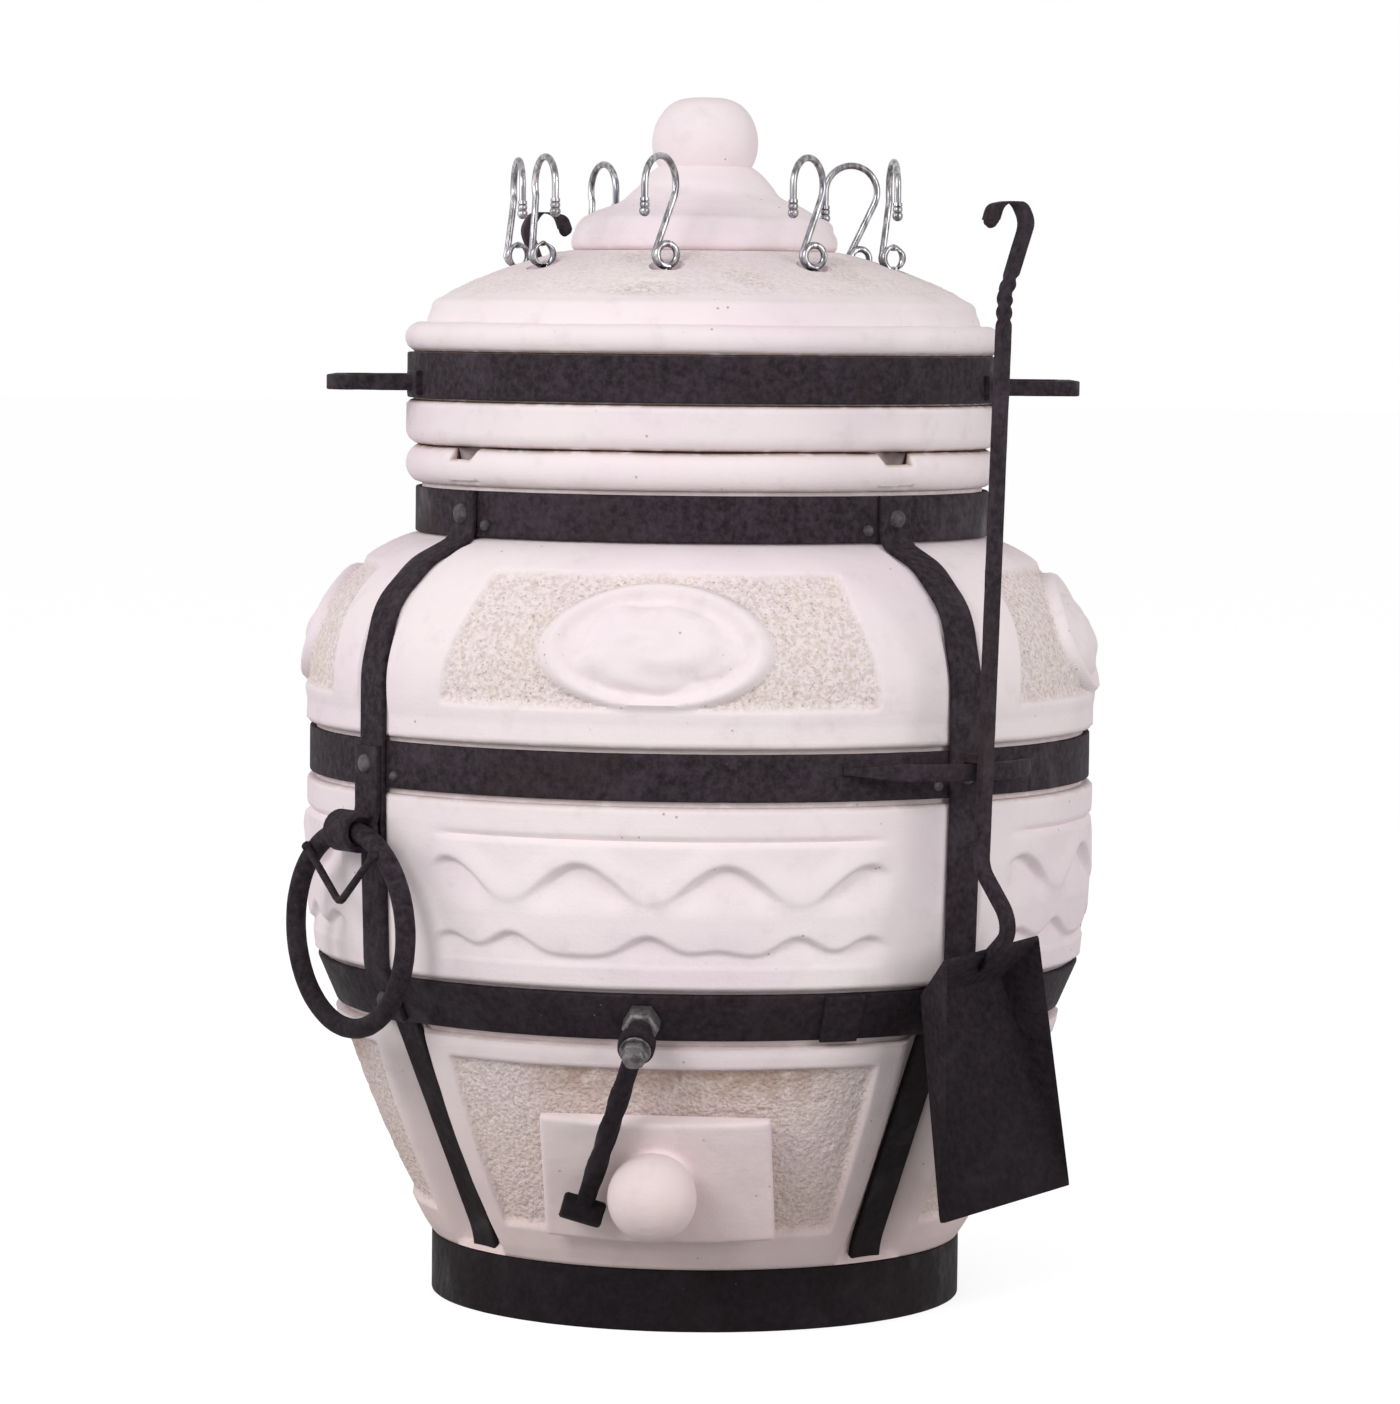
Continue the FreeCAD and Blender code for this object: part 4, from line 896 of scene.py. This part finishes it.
def clay_cap():
    """Stepped cone with a ball knob, smoothed by hand."""
    angles = np.arange(220) * 360 / 220
    r, z = CAP_WALL[:, :1], CAP_WALL[:, 1:]
    grid = revolved_grid(CAP_WALL, angles)
    relief = wobble(grid, 38.0, 31) * 0.9 + wobble(grid, 11.0, 32) * 0.22
    strokes = 0.45 * np.sin((z - 700.0) * 0.5 + 2.0 * np.sin(np.radians(angles)))
    relief += strokes * smooth(704.0, 712.0, z) * (1 - smooth(735.0, 744.0, z))
    relief = relief * smooth(694.5, 698.0, z) * smooth(1.0, 9.0, r + 0 * angles)
    grid = raised(grid, profile_normals(CAP_WALL), relief, angles)
    mesh, used = surface(grid, True, True)
    # Painted shade at the cap's foot, where it sits in the lid.
    stain = np.exp(-((z - 695.0) / 1.6) ** 2) * 0.3 * (r > 70.0)
    paint(mesh, used, stain=np.broadcast_to(stain, grid.shape[:2]))
    finished("cap_clay", mesh, "cap", ["lid_cap"], "clay", 62.0)


def vent_door():
    """Crowned plate with soft corners, a plug behind it and a ball knob, modelled in one lump."""
    half_wide, low, high, thick, crown_r = 73.5, -47.5, 41.5, 15.0, 400.0
    knob_r, knob_out = 28.5, 35.0
    plate = block((-half_wide, low, 1.2), (half_wide, high, thick))
    plug = block((-54.0, -29.0, -22.0), (54.0, 29.0, 6.0))
    ball = [(knob_r * sin(turn), knob_out - knob_r * cos(turn)) for turn in range(0, 181, 12)]
    neck = [(0, 4.0), (25.0, 4.0), (22.5, 15.0), (20.5, 19.0), (21.0, 24.0), (0, 24.0)]
    knob = [turned_solid(outline, 32, Matrix.Identity(4)) for outline in (ball, neck)]
    lump = modified(joined([plate, plug] + knob), ("REMESH", {"mode": "VOXEL", "voxel_size": 1.7}),
                    ("SMOOTH", {"factor": 0.5, "iterations": 6}))
    places = np.empty(len(lump.vertices) * 3)
    lump.vertices.foreach_get("co", places)
    places = places.reshape(-1, 3)
    x, _, z = places.T
    crown = crown_r - np.sqrt(crown_r ** 2 - x ** 2)
    places[:, 2] -= crown * smooth(3.0, 13.0, z) * (1 - smooth(15.5, 18.0, z))
    points = [Vector(place) for place in places.tolist()]
    bumps = np.array([noise.noise(point / 26.0) * 0.8 + noise.noise(point / 8.0) * 0.22 for point in points])
    places[:, 2] += bumps * smooth(2.0, 8.0, z)
    lump.vertices.foreach_set("co", places.reshape(-1))
    lump.transform(wall_matrix(*DOOR_WALL))
    finished("vent_door_clay", lump, "door", ["vent_door"], "clay", 75.0)


# --- iron cage ------------------------------------------------------------------------------
def hoops():
    hoop_rows = (("base_hoop", "oven", BASE_R, BASE_MIDDLE, BASE_TOP),
                 ("belly_hoop", "oven", BELLY_R, BELLY_MIDDLE, 30.0),
                 ("neck_hoop", "oven", NECK_R, NECK_MIDDLE, 30.0),
                 ("lid_hoop", "lid", LID_HOOP_R, LID_HOOP_MIDDLE, 30.0))
    for seed, (name, body, radius, middle, tall) in enumerate(hoop_rows):
        ring = bar(circle_points(radius - BAND / 2, middle), flat_section(tall, BAND), (0, 0, 1),
                   closed=True, step=5.0, seed=seed)
        finished(f"{name}_bar", ring, body, [name], "forged_iron")
    ring = bar(circle_points(*off_lower_hoop(-BAND / 2)), flat_section(LOWER_TALL, BAND), (0, 0, 1),
               closed=True, step=5.0, lean=SLOPE, seed=5)
    finished("lower_hoop_bar", ring, "oven", ["lower_hoop"], "forged_iron")


def straps():
    for number, angle in enumerate(STRAP_ANGLES, 1):
        for length, line in (("upper", strap_path(BAND / 2)), ("lower", lower_strap_path(BAND / 2))):
            name = f"{length}_strap_{number}"
            strip = bar([at(angle, *point) for point in line], flat_section(STRAP_WIDE, BAND),
                        sideways(angle), step=3.5, seed=number + len(length))
            finished(f"{name}_bar", strip, "oven", [name], "forged_iron")


def rivet_tree():
    """A hammered round head on each point, facing along the point's outward direction."""
    tree = bpy.data.node_groups.new("rivet_heads", "GeometryNodeTree")
    for label, kind in (("Geometry", "Geometry"), ("Radius", "Float"), ("Height", "Float"), ("Dent", "Float"),
                        ("Finish", "Material")):
        tree.interface.new_socket(label, in_out="INPUT", socket_type=f"NodeSocket{kind}")
    tree.interface.new_socket("Geometry", in_out="OUTPUT", socket_type="NodeSocketGeometry")
    given = tree.nodes.new("NodeGroupInput").outputs
    ball = add(tree, "GeometryNodeMeshUVSphere", {"Segments": 20, "Rings": 12, "Radius": 1.0})
    size = add(tree, "ShaderNodeCombineXYZ", {0: given["Radius"], 1: given["Radius"], 2: given["Height"]})
    head = add(tree, "GeometryNodeTransform", {"Geometry": ball.outputs[0], "Scale": size.outputs[0]})
    way = add(tree, "GeometryNodeInputNamedAttribute", {"Name": "outward"}, data_type="FLOAT_VECTOR")
    turn = add(tree, "FunctionNodeAlignRotationToVector", {"Vector": way.outputs[0]}, axis="Z").outputs[0]
    vary = add(tree, "FunctionNodeRandomValue", {"Min": 0.9, "Max": 1.06, "Seed": 4}, data_type="FLOAT")
    heads = add(tree, "GeometryNodeInstanceOnPoints",
                {"Points": given["Geometry"], "Instance": head.outputs[0], "Rotation": turn,
                 "Scale": vary.outputs[1]})
    heads = add(tree, "GeometryNodeRealizeInstances", {"Geometry": heads.outputs[0]})
    place = add(tree, "GeometryNodeInputPosition").outputs[0]
    hammer = add(tree, "ShaderNodeTexNoise", {"Vector": place, "Scale": 190.0, "Detail": 1.0}).outputs[0]
    depth = calc(tree, "MULTIPLY", calc(tree, "SUBTRACT", hammer, 0.5), given["Dent"])
    normal = add(tree, "GeometryNodeInputNormal").outputs[0]
    shift = add(tree, "ShaderNodeVectorMath", {0: normal, "Scale": depth}, operation="SCALE").outputs[0]
    heads = add(tree, "GeometryNodeSetPosition", {"Geometry": heads.outputs[0], "Offset": shift})
    heads = add(tree, "GeometryNodeSetMaterial", {"Geometry": heads.outputs[0], "Material": given["Finish"]})
    tree.links.new(heads.outputs[0], tree.nodes.new("NodeGroupOutput").inputs[0])
    return tree


RIVET_TREE = rivet_tree()


def heads(name, spots, radius, height, nodes):
    """Rivet heads on (point, direction) spots."""
    mesh = bpy.data.meshes.new("spots")
    mesh.from_pydata([spot for spot, _ in spots], [], [])
    outward = mesh.attributes.new("outward", "FLOAT_VECTOR", "POINT")
    outward.data.foreach_set("vector", [value for _, way in spots for value in way])
    carrier = bpy.data.objects.new("spots", mesh)
    bpy.context.collection.objects.link(carrier)
    grown_heads = grown(RIVET_TREE, carrier, radius=radius * MM, height=height * MM, dent=0.9 * MM,
                        finish=FINISH["rivet_iron"])
    finished(name, grown_heads, "oven", nodes, "forged_iron", 60.0, "rivet_iron")


def rivets():
    spots, pins = [], []
    for angle in STRAP_ANGLES:
        over_tab = BAND if angle in RING_ANGLES else 0.0
        spots.append((at(angle, 0, NECK_R + BAND, NECK_MIDDLE), outwards(angle)))
        spots.append((at(angle, 0, BELLY_R + BAND + over_tab, BELLY_MIDDLE), outwards(angle)))
        spots.append((at(angle, 0, *off_lower_hoop(BAND)), outwards(angle, SLOPE)))
        inner_side = -1 if angle in (46.5, -133.5) else 1
        for radius, z, step in ((NECK_R, 515.5, 6.2), (BELLY_R, 356.5, 4.6)):
            beside = angle + inner_side * step
            pins.append((at(beside, 0, radius + 0.6, z), outwards(beside)))
    heads("strap_rivet_heads", spots, 6.6, 4.5, ["neck_rivets", "belly_rivets", "lower_rivets"])
    heads("panel_pin_heads", pins, 3.5, 3.5, ["panel_pins"])


def splice_plate():
    """Lap plate over the joint of the lower hoop."""
    angle, thick = 28.0, 3.0
    points = [at(angle + turn, 0, *off_lower_hoop(thick / 2)) for turn in np.linspace(-2.9, 2.9, 9)]
    plate = bar(points, flat_section(LOWER_TALL, thick, 0.8), (0, 0, 1), lean=SLOPE, seed=8)
    finished("splice_plate", plate, "oven", ["lower_hoop_splice"], "forged_iron")


# --- what hangs on the cage -----------------------------------------------------------------
def ring_brackets():
    """Tab of flat bar with its end curled round the carry ring."""
    pivot_r, pivot_z = RING_PIVOT
    curl = 11.5
    for number, angle in enumerate(RING_ANGLES, 1):
        line = [(0, BELLY_R + 1.5 * BAND, z) for z in (375.0, 360.0, 345.0, 334.0)]
        line += [(0, pivot_r - curl * cos(turn), pivot_z - curl * sin(turn)) for turn in range(-24, 301, 12)]
        tab = bar([at(angle, *point) for point in line], flat_section(STRAP_WIDE, BAND, 1.0), sideways(angle),
                  step=2.5, seed=number)
        finished(f"ring_bracket_{number}_tab", tab, "oven", [f"ring_bracket_{number}"], "forged_iron")


def weld_blob(centre, radius, seed):
    outline = [(radius * sin(turn), -radius * cos(turn)) for turn in range(0, 181, 20)]
    return turned_solid(outline, 12, Matrix.Translation(centre) @ Matrix.Scale(MM, 4), 0.8, 3.0, seed)


def carry_rings():
    """Ring of round bar, and a V of wire welded across its top."""
    pivot_r, pivot_z = RING_PIVOT
    centre_z = pivot_z - RING_R
    weld_angle, wire_r = 37.0, 2.5
    weld_x, weld_z = RING_R * sin(weld_angle), centre_z + RING_R * cos(weld_angle)
    wire_at = pivot_r + RING_BAR_R + wire_r - 1.0
    for number, angle in enumerate(RING_ANGLES, 1):
        body = f"ring_{number}"
        points = [at(angle, RING_R * sin(turn), pivot_r, centre_z + RING_R * cos(turn))
                  for turn in range(0, 360, 4)]
        ring = bar(points, round_section(RING_BAR_R), outwards(angle), closed=True, seed=number, dents=0.5)
        finished(f"carry_ring_{number}_bar", ring, body, [f"carry_ring_{number}"], "forged_iron", 60.0)
        ends = [(side * weld_x, wire_at, weld_z) for side in (-1, 1)]
        line = filleted([ends[0], (0, wire_at, pivot_z - 46.0), ends[1]], [5.0])
        wire = bar([at(angle, *point) for point in line], round_section(wire_r, 12), outwards(angle),
                   seed=number)
        blobs = [weld_blob(at(angle, *end), 3.6, number) for end in ends]
        finished(f"ring_brace_{number}_wire", joined([wire] + blobs), body, [f"ring_brace_{number}"],
                 "forged_iron", 60.0)


def tool_holders():
    """Bowed flat bar with pointed feet on the belly hoop."""
    half, bow_out, thick, tall, low, count = 16.6, 293.5, 5.0, 11.0, 362.0, 40
    foot_x, foot_r = BELLY_R * sin(half), BELLY_R * cos(half)
    rise = bow_out - foot_r
    bow_r = (foot_x ** 2 + rise ** 2) / (2 * rise)
    reach = math.degrees(math.asin(foot_x / bow_r)) if rise < bow_r else 90.0
    turns = np.linspace(-reach, reach, count)
    from_ends = [min(share, 1 - share) for share in np.linspace(0, 1, count)]
    radii = [float(0.42 + 0.58 * smooth(0.0, 0.24, share)) for share in from_ends]
    for name, (angle, _) in TOOL_ANGLES.items():
        points = [at(angle, bow_r * sin(turn), bow_out - bow_r + bow_r * cos(turn), low + tall / 2)
                  for turn in turns]
        bow = bar(points, flat_section(tall, thick, 1.2), (0, 0, 1), radii=radii, seed=3)
        finished(f"{name}_holder_bow", bow, "oven", [f"{name}_holder"], "forged_iron")


def rod_x(z):
    """Sideways lean of the rods."""
    return 13.5 * (z - 300.0) / (ROD_TOP_Z - 300.0)


def tool_rod(name, body, angle, foot, foot_radii, seed):
    """Square rod, twisted below its forged hook."""
    twist_z, twist_long = 646.0, 34.0
    top_x = rod_x(ROD_TOP_Z)
    hook = [(top_x + x, TOOL_R, ROD_TOP_Z + z)
            for x, z in ((16.5, 27.5), (9.0, 41.5), (-9.0, 38.5), (-12.5, 28.5))]
    corners = foot + [(top_x - 0.6, TOOL_R, ROD_TOP_Z - 18.0)] + hook
    line = filleted(corners, foot_radii + [30.0, 12.0, 9.0, 8.0], 2.0)
    lengths = np.cumsum([0.0] + [(b - a).length for a, b in zip(line, line[1:])])
    share = lengths / lengths[-1]
    heights = np.array([point.z for point in line])
    past = int(np.argmax(heights > twist_z))
    twist_from = float(np.interp(twist_z, heights[past - 1:past + 1], share[past - 1:past + 1]))
    twist_to = twist_from + twist_long / float(lengths[-1])
    radii = [float(1.0 + 0.12 * smooth(0.9, 0.96, value)) for value in share]
    rod = bar([at(angle, *point) for point in line], flat_section(8.0, 8.0, 1.0), sideways(angle),
              radii=radii, step=2.0, turns=1.0, twist=(twist_from, twist_to), dents=0.5, seed=seed)
    tip = weld_blob(at(angle, *corners[-1]), 5.0, seed)
    finished(f"{name}_bar", joined([rod, tip]), body, [name], "forged_iron")


def hanging_tools():
    shovel_angle, poker_angle = TOOL_ANGLES["shovel"][1], TOOL_ANGLES["poker"][1]
    offset = TRAY_ANGLE - shovel_angle
    tray_foot = (288.0 * sin(offset), 288.0 * cos(offset), 243.5)
    shovel_foot = [tray_foot, (0, 337.0, 273.0), (0, TOOL_R, 308.0)]
    poker_foot = [(46.0, TOOL_R, 150.0), (0, TOOL_R, 150.0)]
    tool_rod("shovel_rod", "shovel", shovel_angle, shovel_foot, [14.0, 20.0], 2)
    tool_rod("poker_rod", "poker", poker_angle, poker_foot, [16.0], 4)


def shovel_tray():
    """Tray of sheet: trapezoid floor, leaning back, and sides that die out at the lip."""
    back, lip, long, wall, lean, sheet = 33.5, 54.0, 142.0, 38.0, 22.0, 2.5
    top = back + 6.5
    corners = [(-back, 0, 0), (back, 0, 0), (lip, 0, -long), (-lip, 0, -long),
               (-top, -wall, lean), (top, -wall, lean)]
    mesh = bpy.data.meshes.new("tray")
    mesh.from_pydata(corners, [], [(0, 1, 2, 3), (0, 4, 5, 1), (0, 3, 4), (1, 5, 2)])
    body = bmesh.new()
    body.from_mesh(mesh)
    bmesh.ops.recalc_face_normals(body, faces=body.faces)
    if max(body.faces, key=lambda face: face.calc_area()).normal.y > 0:
        bmesh.ops.reverse_faces(body, faces=body.faces)
    body.to_mesh(mesh)
    body.free()
    mesh = modified(mesh, ("SOLIDIFY", {"thickness": sheet, "offset": 1.0, "use_even_offset": True}),
                    ("BEVEL", {"width": 0.9, "segments": 3, "limit_method": "ANGLE"}))
    turn = (Matrix.Rotation(math.radians(TRAY_ANGLE), 4, "Z") @ Matrix.Translation((0, -267.0, 230.0))
            @ Matrix.Rotation(math.radians(-8.0), 4, "Y") @ Matrix.Rotation(math.radians(-9.0), 4, "X"))
    mesh.transform(Matrix.Scale(MM, 4) @ turn)
    finished("shovel_tray_sheet", mesh, "shovel", ["shovel_tray"], "forged_iron")


def lid_handles():
    """U of square bar with small feet on the lid hoop."""
    half, out, z, size = 58.0, 243.0, 606.0, 10.0
    root = math.sqrt(LID_HOOP_R ** 2 - half ** 2) - 1.0
    for number, angle in enumerate(HANDLE_ANGLES, 1):
        line = filleted([(-half, root, z), (-half, out, z), (half, out, z), (half, root, z)], [16.0, 16.0])
        grip = bar([at(angle, *point) for point in line], flat_section(size, size, 1.1), (0, 0, 1), step=2.5,
                   dents=0.5, seed=number)
        feet = []
        for side in (-1, 1):
            turns = np.linspace(-3.4, 3.4, 9) + side * 17.6
            points = [at(angle + turn, 0, LID_HOOP_R + 1.9, z) for turn in turns]
            feet.append(bar(points, flat_section(16.0, 4.2, 1.2), (0, 0, 1), dents=0.8, seed=number + side))
        name = f"lid_handle_{number}"
        finished(f"{name}_bar", joined([grip] + feet), "lid", [name], "forged_iron")


# --- latch ----------------------------------------------------------------------------------
def latch_matrix(lean=0.0):
    """Carries what was made round the stud, in mm, onto the lower hoop; lean turns it about the stud."""
    spin = Matrix.Rotation(math.radians(-lean), 4, "Z")
    return wall_matrix(lower_hoop_face(LOWER_MIDDLE), LOWER_MIDDLE, LATCH_X) @ spin


def hexagon_nut(across, low, high, chamfer):
    """Hexagon with turned chamfers, round local Z."""
    outline = [Vector((cos(60 * k), sin(60 * k))) * (across / 2 / cos(30)) for k in range(6)]
    body = bmesh.new()
    rings = []
    for z, shrink in ((low, chamfer), (low + chamfer, 0.0), (high - chamfer, 0.0), (high, chamfer)):
        share = 1 - shrink / across * 2
        rings.append([body.verts.new((p.x * share, p.y * share, z)) for p in outline])
    for lower, upper in zip(rings, rings[1:]):
        for k in range(6):
            body.faces.new((lower[k], lower[(k + 1) % 6], upper[(k + 1) % 6], upper[k]))
    body.faces.new(rings[0][::-1])
    body.faces.new(rings[-1])
    mesh = bpy.data.meshes.new("nut")
    body.to_mesh(mesh)
    body.free()
    return modified(mesh, ("BEVEL", {"width": 0.7, "segments": 2, "limit_method": "ANGLE"}))


def latch_stack():
    """Nut, sleeve, washer and cap nut on the stud, with the arm's eye between sleeve and washer."""
    matrix = latch_matrix()
    low, high = ARM_OUT - 6.0, ARM_OUT + 6.0
    base = hexagon_nut(21.0, 0.0, 15.0, 1.6)
    base.transform(matrix)
    finished("latch_base_nut_hex", base, "oven", ["latch_base_nut"], "zinc", 30.0)
    sleeve = [(0, 14.6), (7.4, 14.6), (8.1, 15.6), (7.6, 18.0), (8.1, 21.0), (7.4, low - 0.6), (0, low - 0.6)]
    sleeve = turned_solid(sleeve, 32, matrix, 0.25, 5.0, 3)
    finished("latch_sleeve", sleeve, "oven", ["latch_spacer"], "forged_iron")
    washer = [(0, high + 0.3), (9.2, high + 0.3), (10.0, high + 1.0), (9.4, high + 2.2), (0, high + 2.2)]
    finished("latch_washer_disc", turned_solid(washer, 36, matrix), "oven", ["latch_washer"], "zinc")
    nut_z, dome_r = high + 2.3, 7.4
    nut = hexagon_nut(16.0, nut_z, nut_z + 6.6, 1.0)
    dome = [(dome_r * cos(turn), nut_z + 6.0 + dome_r * sin(turn)) for turn in range(0, 90, 10)]
    dome = [(0, nut_z + 3.0)] + dome + [(0, nut_z + 13.4)]
    cap_nut = joined([nut, turned_solid(dome, 32, Matrix.Identity(4), 0.2, 4.0, 5)])
    cap_nut.transform(matrix)
    finished("latch_cap_nut_dome", cap_nut, "oven", ["latch_cap_nut"], "zinc", 30.0)


def latch():
    """Twisted arm with an eye at the stud and a cross head at its end."""
    swung = latch_matrix(LATCH_REST)
    low, high = ARM_OUT - 6.0, ARM_OUT + 6.0
    eye = [(5.15, low), (10.6, low), (11.6, low + 1.4), (11.9, ARM_OUT), (11.6, high - 1.4), (10.6, high),
           (5.15, high)]
    grid = revolved_grid(np.array(eye), np.arange(36) * 10.0)
    dents = 0.012 * wobble(grid, 6.0, 7)[..., None] * np.array([1, 1, 0])
    eye, _ = surface(grid * (1 + dents), True, False)
    eye.transform(swung @ Matrix.Scale(1 / MM, 4))
    line = [Vector((0, -share * (ARM_LONG - 3.0) - 9.0 * (1 - share), ARM_OUT))
            for share in np.linspace(0, 1, 40)]
    shank = bar([swung @ point for point in line], flat_section(11.6, 11.6, 3.6),
                swung.to_3x3().col[0].normalized(), step=2.2, turns=0.75, twist=(0.15, 0.85), dents=0.5,
                seed=6)
    finished("latch_arm_bar", joined([eye, shank]), "latch", ["latch_arm"], "forged_iron")
    head = [(0, -13.5), (7.2, -13.5), (8.4, -12.3), (8.6, -4.0), (8.4, 6.0), (8.4, 12.3), (7.2, 13.5),
            (0, 13.5)]
    across = (swung @ Matrix.Translation((0, -ARM_LONG, ARM_OUT))
              @ Matrix.Rotation(math.radians(90), 4, "Y"))
    head = turned_solid(head, 36, across, 0.3, 8.0, 9)
    finished("latch_head_bar", head, "latch", ["latch_head"], "forged_iron")


# --- skewers --------------------------------------------------------------------------------
def skewer(number, angle, heading):
    """Flat blade, eye of a turn and a third, stem, S hook and ball tip, drawn from one wire."""
    eye_r, wire_r, eye_z, bend_r = 7.25, 2.3, 690.4, 17.8
    place = (Matrix.Translation(at(angle, 0, SKEWER_R, eye_z))
             @ Matrix.Rotation(math.radians(heading), 4, "Z") @ Matrix.Scale(MM, 4))
    face = Matrix.Rotation(math.radians(EYE_HEADING - heading), 3, "Z")
    coil = []
    for share in np.linspace(0, 1, 64):
        turn = -90.0 - 475.3 * share
        coil.append(face @ Vector((eye_r * cos(turn), -2.4 + 4.8 * share, eye_r * sin(turn))))
    stem_top = Vector((10.0, 1.2, 38.0))
    along = Vector((16.5, 0, 34.8)).normalized()
    centre = stem_top + Vector((-along.z, 0, along.x)) * bend_r
    lean = math.degrees(math.atan2(stem_top.z - centre.z, stem_top.x - centre.x))
    bend = [centre + Vector((bend_r * cos(turn), 0, bend_r * sin(turn)))
            for turn in np.linspace(lean, 180.0, 26)]
    tip = Vector((centre.x - bend_r, 1.2, 27.7))
    stem = [coil[-1].lerp(stem_top, share) for share in (0.33, 0.66)]
    line = coil + stem + bend + [bend[-1].lerp(tip, 0.5), tip]
    wire = bar([place @ point for point in line], round_section(wire_r, 14),
               place.to_3x3().col[1].normalized(), step=1.4, dents=0.05, seed=number, finish="skewer_steel")

    ball = [(3.6 * sin(turn), 3.6 * cos(turn)) for turn in range(0, 181, 18)]
    collar = [(0, 2.6), (3.0, 2.6), (3.2, 3.4), (3.2, 5.4), (2.6, 6.0), (3.2, 6.6), (3.0, 8.6), (0, 8.6)]
    ends = [turned_solid(outline, 16, place @ Matrix.Translation(tip)) for outline in (ball, collar)]

    shank = [Vector((0, -2.0 * (1 - share), -5.5 - 24.0 * share)) for share in np.linspace(0, 1, 8)]
    blade = shank + [Vector((0, 0, -30.0 - 452.0 * share)) for share in np.linspace(0, 1, 20)]
    blade.append(Vector((0, 0, -500.0)))
    radii = [0.55 + 0.45 * share for share in np.linspace(0, 1, 8)] + [1.0] * 20 + [0.12]
    strip = bar([place @ point for point in blade], flat_section(10.0, 2.2, 0.5),
                place.to_3x3().col[0].normalized(), radii=radii, step=6.0, dents=0.05, seed=number,
                finish="skewer_steel")
    finished(f"skewer_{number}_wire", joined([wire] + ends + [strip]), f"skewer_body_{number}",
             [f"skewer_{number}"], "skewer_steel", 50.0)


# --- set --------------------------------------------------------------------------------------
def repaint_nodes():
    """The solids that stay get the finish of their slot."""
    slots = {entry["node"]: entry["material_slot"] for entry in frame["record"]["subparts"]}
    for name, node in frame["nodes"].items():
        node.data.materials.clear()
        node.data.materials.append(FINISH[slots.get(name, "forged_iron")])


def seen_rays(tree):
    """1 for what the camera sees, also in a mirror or through something, and 0 for the rest."""
    ray = add(tree, "ShaderNodeLightPath").outputs
    beyond = calc(tree, "MAXIMUM", ray["Is Glossy Ray"], ray["Is Transmission Ray"])
    return calc(tree, "MAXIMUM", ray["Is Camera Ray"], beyond)


def floor():
    """Pale floor: it keeps the shadow, and what the camera sees of it is white."""
    material = bpy.data.materials.new("floor")
    material.use_nodes = True
    tree = material.node_tree
    tree.nodes.clear()
    strength = calc(tree, "MULTIPLY", seen_rays(tree), FLOOR_GLOW)
    chalk = add(tree, "ShaderNodeBsdfDiffuse", {"Color": (0.42, 0.42, 0.42, 1)}).outputs[0]
    glow = add(tree, "ShaderNodeEmission", {"Color": (1, 1, 1, 1), "Strength": strength}).outputs[0]
    both = add(tree, "ShaderNodeAddShader", {0: chalk, 1: glow}).outputs[0]
    add(tree, "ShaderNodeOutputMaterial", {"Surface": both})
    mesh = bpy.data.meshes.new("floor")
    far = 40.0
    mesh.from_pydata([(-far, -far, 0), (far, -far, 0), (far, far, 0), (-far, far, 0)], [], [(0, 1, 2, 3)])
    mesh.materials.append(material)
    ground = bpy.data.objects.new("floor", mesh)
    bpy.context.collection.objects.link(ground)


def sky():
    """Even white surroundings: full white to the eye, softer as a light."""
    world = bpy.data.worlds.new("surroundings")
    bpy.context.scene.world = world
    world.use_nodes = True
    tree = world.node_tree
    tree.nodes.clear()
    strength = calc(tree, "ADD", calc(tree, "MULTIPLY", seen_rays(tree), 1.0 - SKY_LIGHT), SKY_LIGHT)
    glow = add(tree, "ShaderNodeBackground", {"Color": (1, 1, 1, 1), "Strength": strength}).outputs[0]
    add(tree, "ShaderNodeOutputWorld", {"Surface": glow})



def lamp(name, place, aim, size, power):
    light = bpy.data.lights.new(name, "AREA")
    light.shape = "SQUARE"
    light.size = size
    light.energy = power
    holder = bpy.data.objects.new(name, light)
    bpy.context.collection.objects.link(holder)
    holder.location = place
    holder.rotation_euler = (Vector(aim) - Vector(place)).to_track_quat("-Z", "Y").to_euler()


def camera():
    """Long lens, a little right of the front and level with the pot's rim."""
    azimuth, distance, height, aim_z, roll, focal = 6.5, 3.787, 0.649, 0.394, 0.55, 145.6
    data = bpy.data.cameras.new("camera")
    data.sensor_fit = "VERTICAL"
    data.sensor_height = 36.0
    data.lens = focal
    holder = bpy.data.objects.new("camera", data)
    bpy.context.collection.objects.link(holder)
    holder.location = (distance * sin(azimuth), -distance * cos(azimuth), height)
    look = Vector((0, 0, aim_z)) - Vector(holder.location)
    turn = look.to_track_quat("-Z", "Y").to_matrix() @ Matrix.Rotation(math.radians(roll), 3, "Z")
    holder.rotation_euler = turn.to_euler()
    bpy.context.scene.camera = holder


repaint_nodes()
clay_pot()
clay_lid()
clay_cap()
vent_door()
hoops()
straps()
rivets()
splice_plate()
ring_brackets()
carry_rings()
tool_holders()
hanging_tools()
shovel_tray()
lid_handles()
latch_stack()
latch()
for number, (angle, heading) in enumerate(zip(SKEWER_ANGLES, SKEWER_TURNS), 1):
    skewer(number, angle, heading)

floor()
sky()
lamp("key", (-1.4, -3.0, 1.9), (0, 0, 0.45), 1.4, 45.0)
lamp("right", (2.9, -1.9, 1.3), (0, 0, 0.5), 2.0, 45.0)
lamp("left", (-2.9, -1.0, 1.3), (0, 0, 0.5), 2.0, 24.0)
camera()

scene = bpy.context.scene
scene.view_settings.view_transform = "Standard"
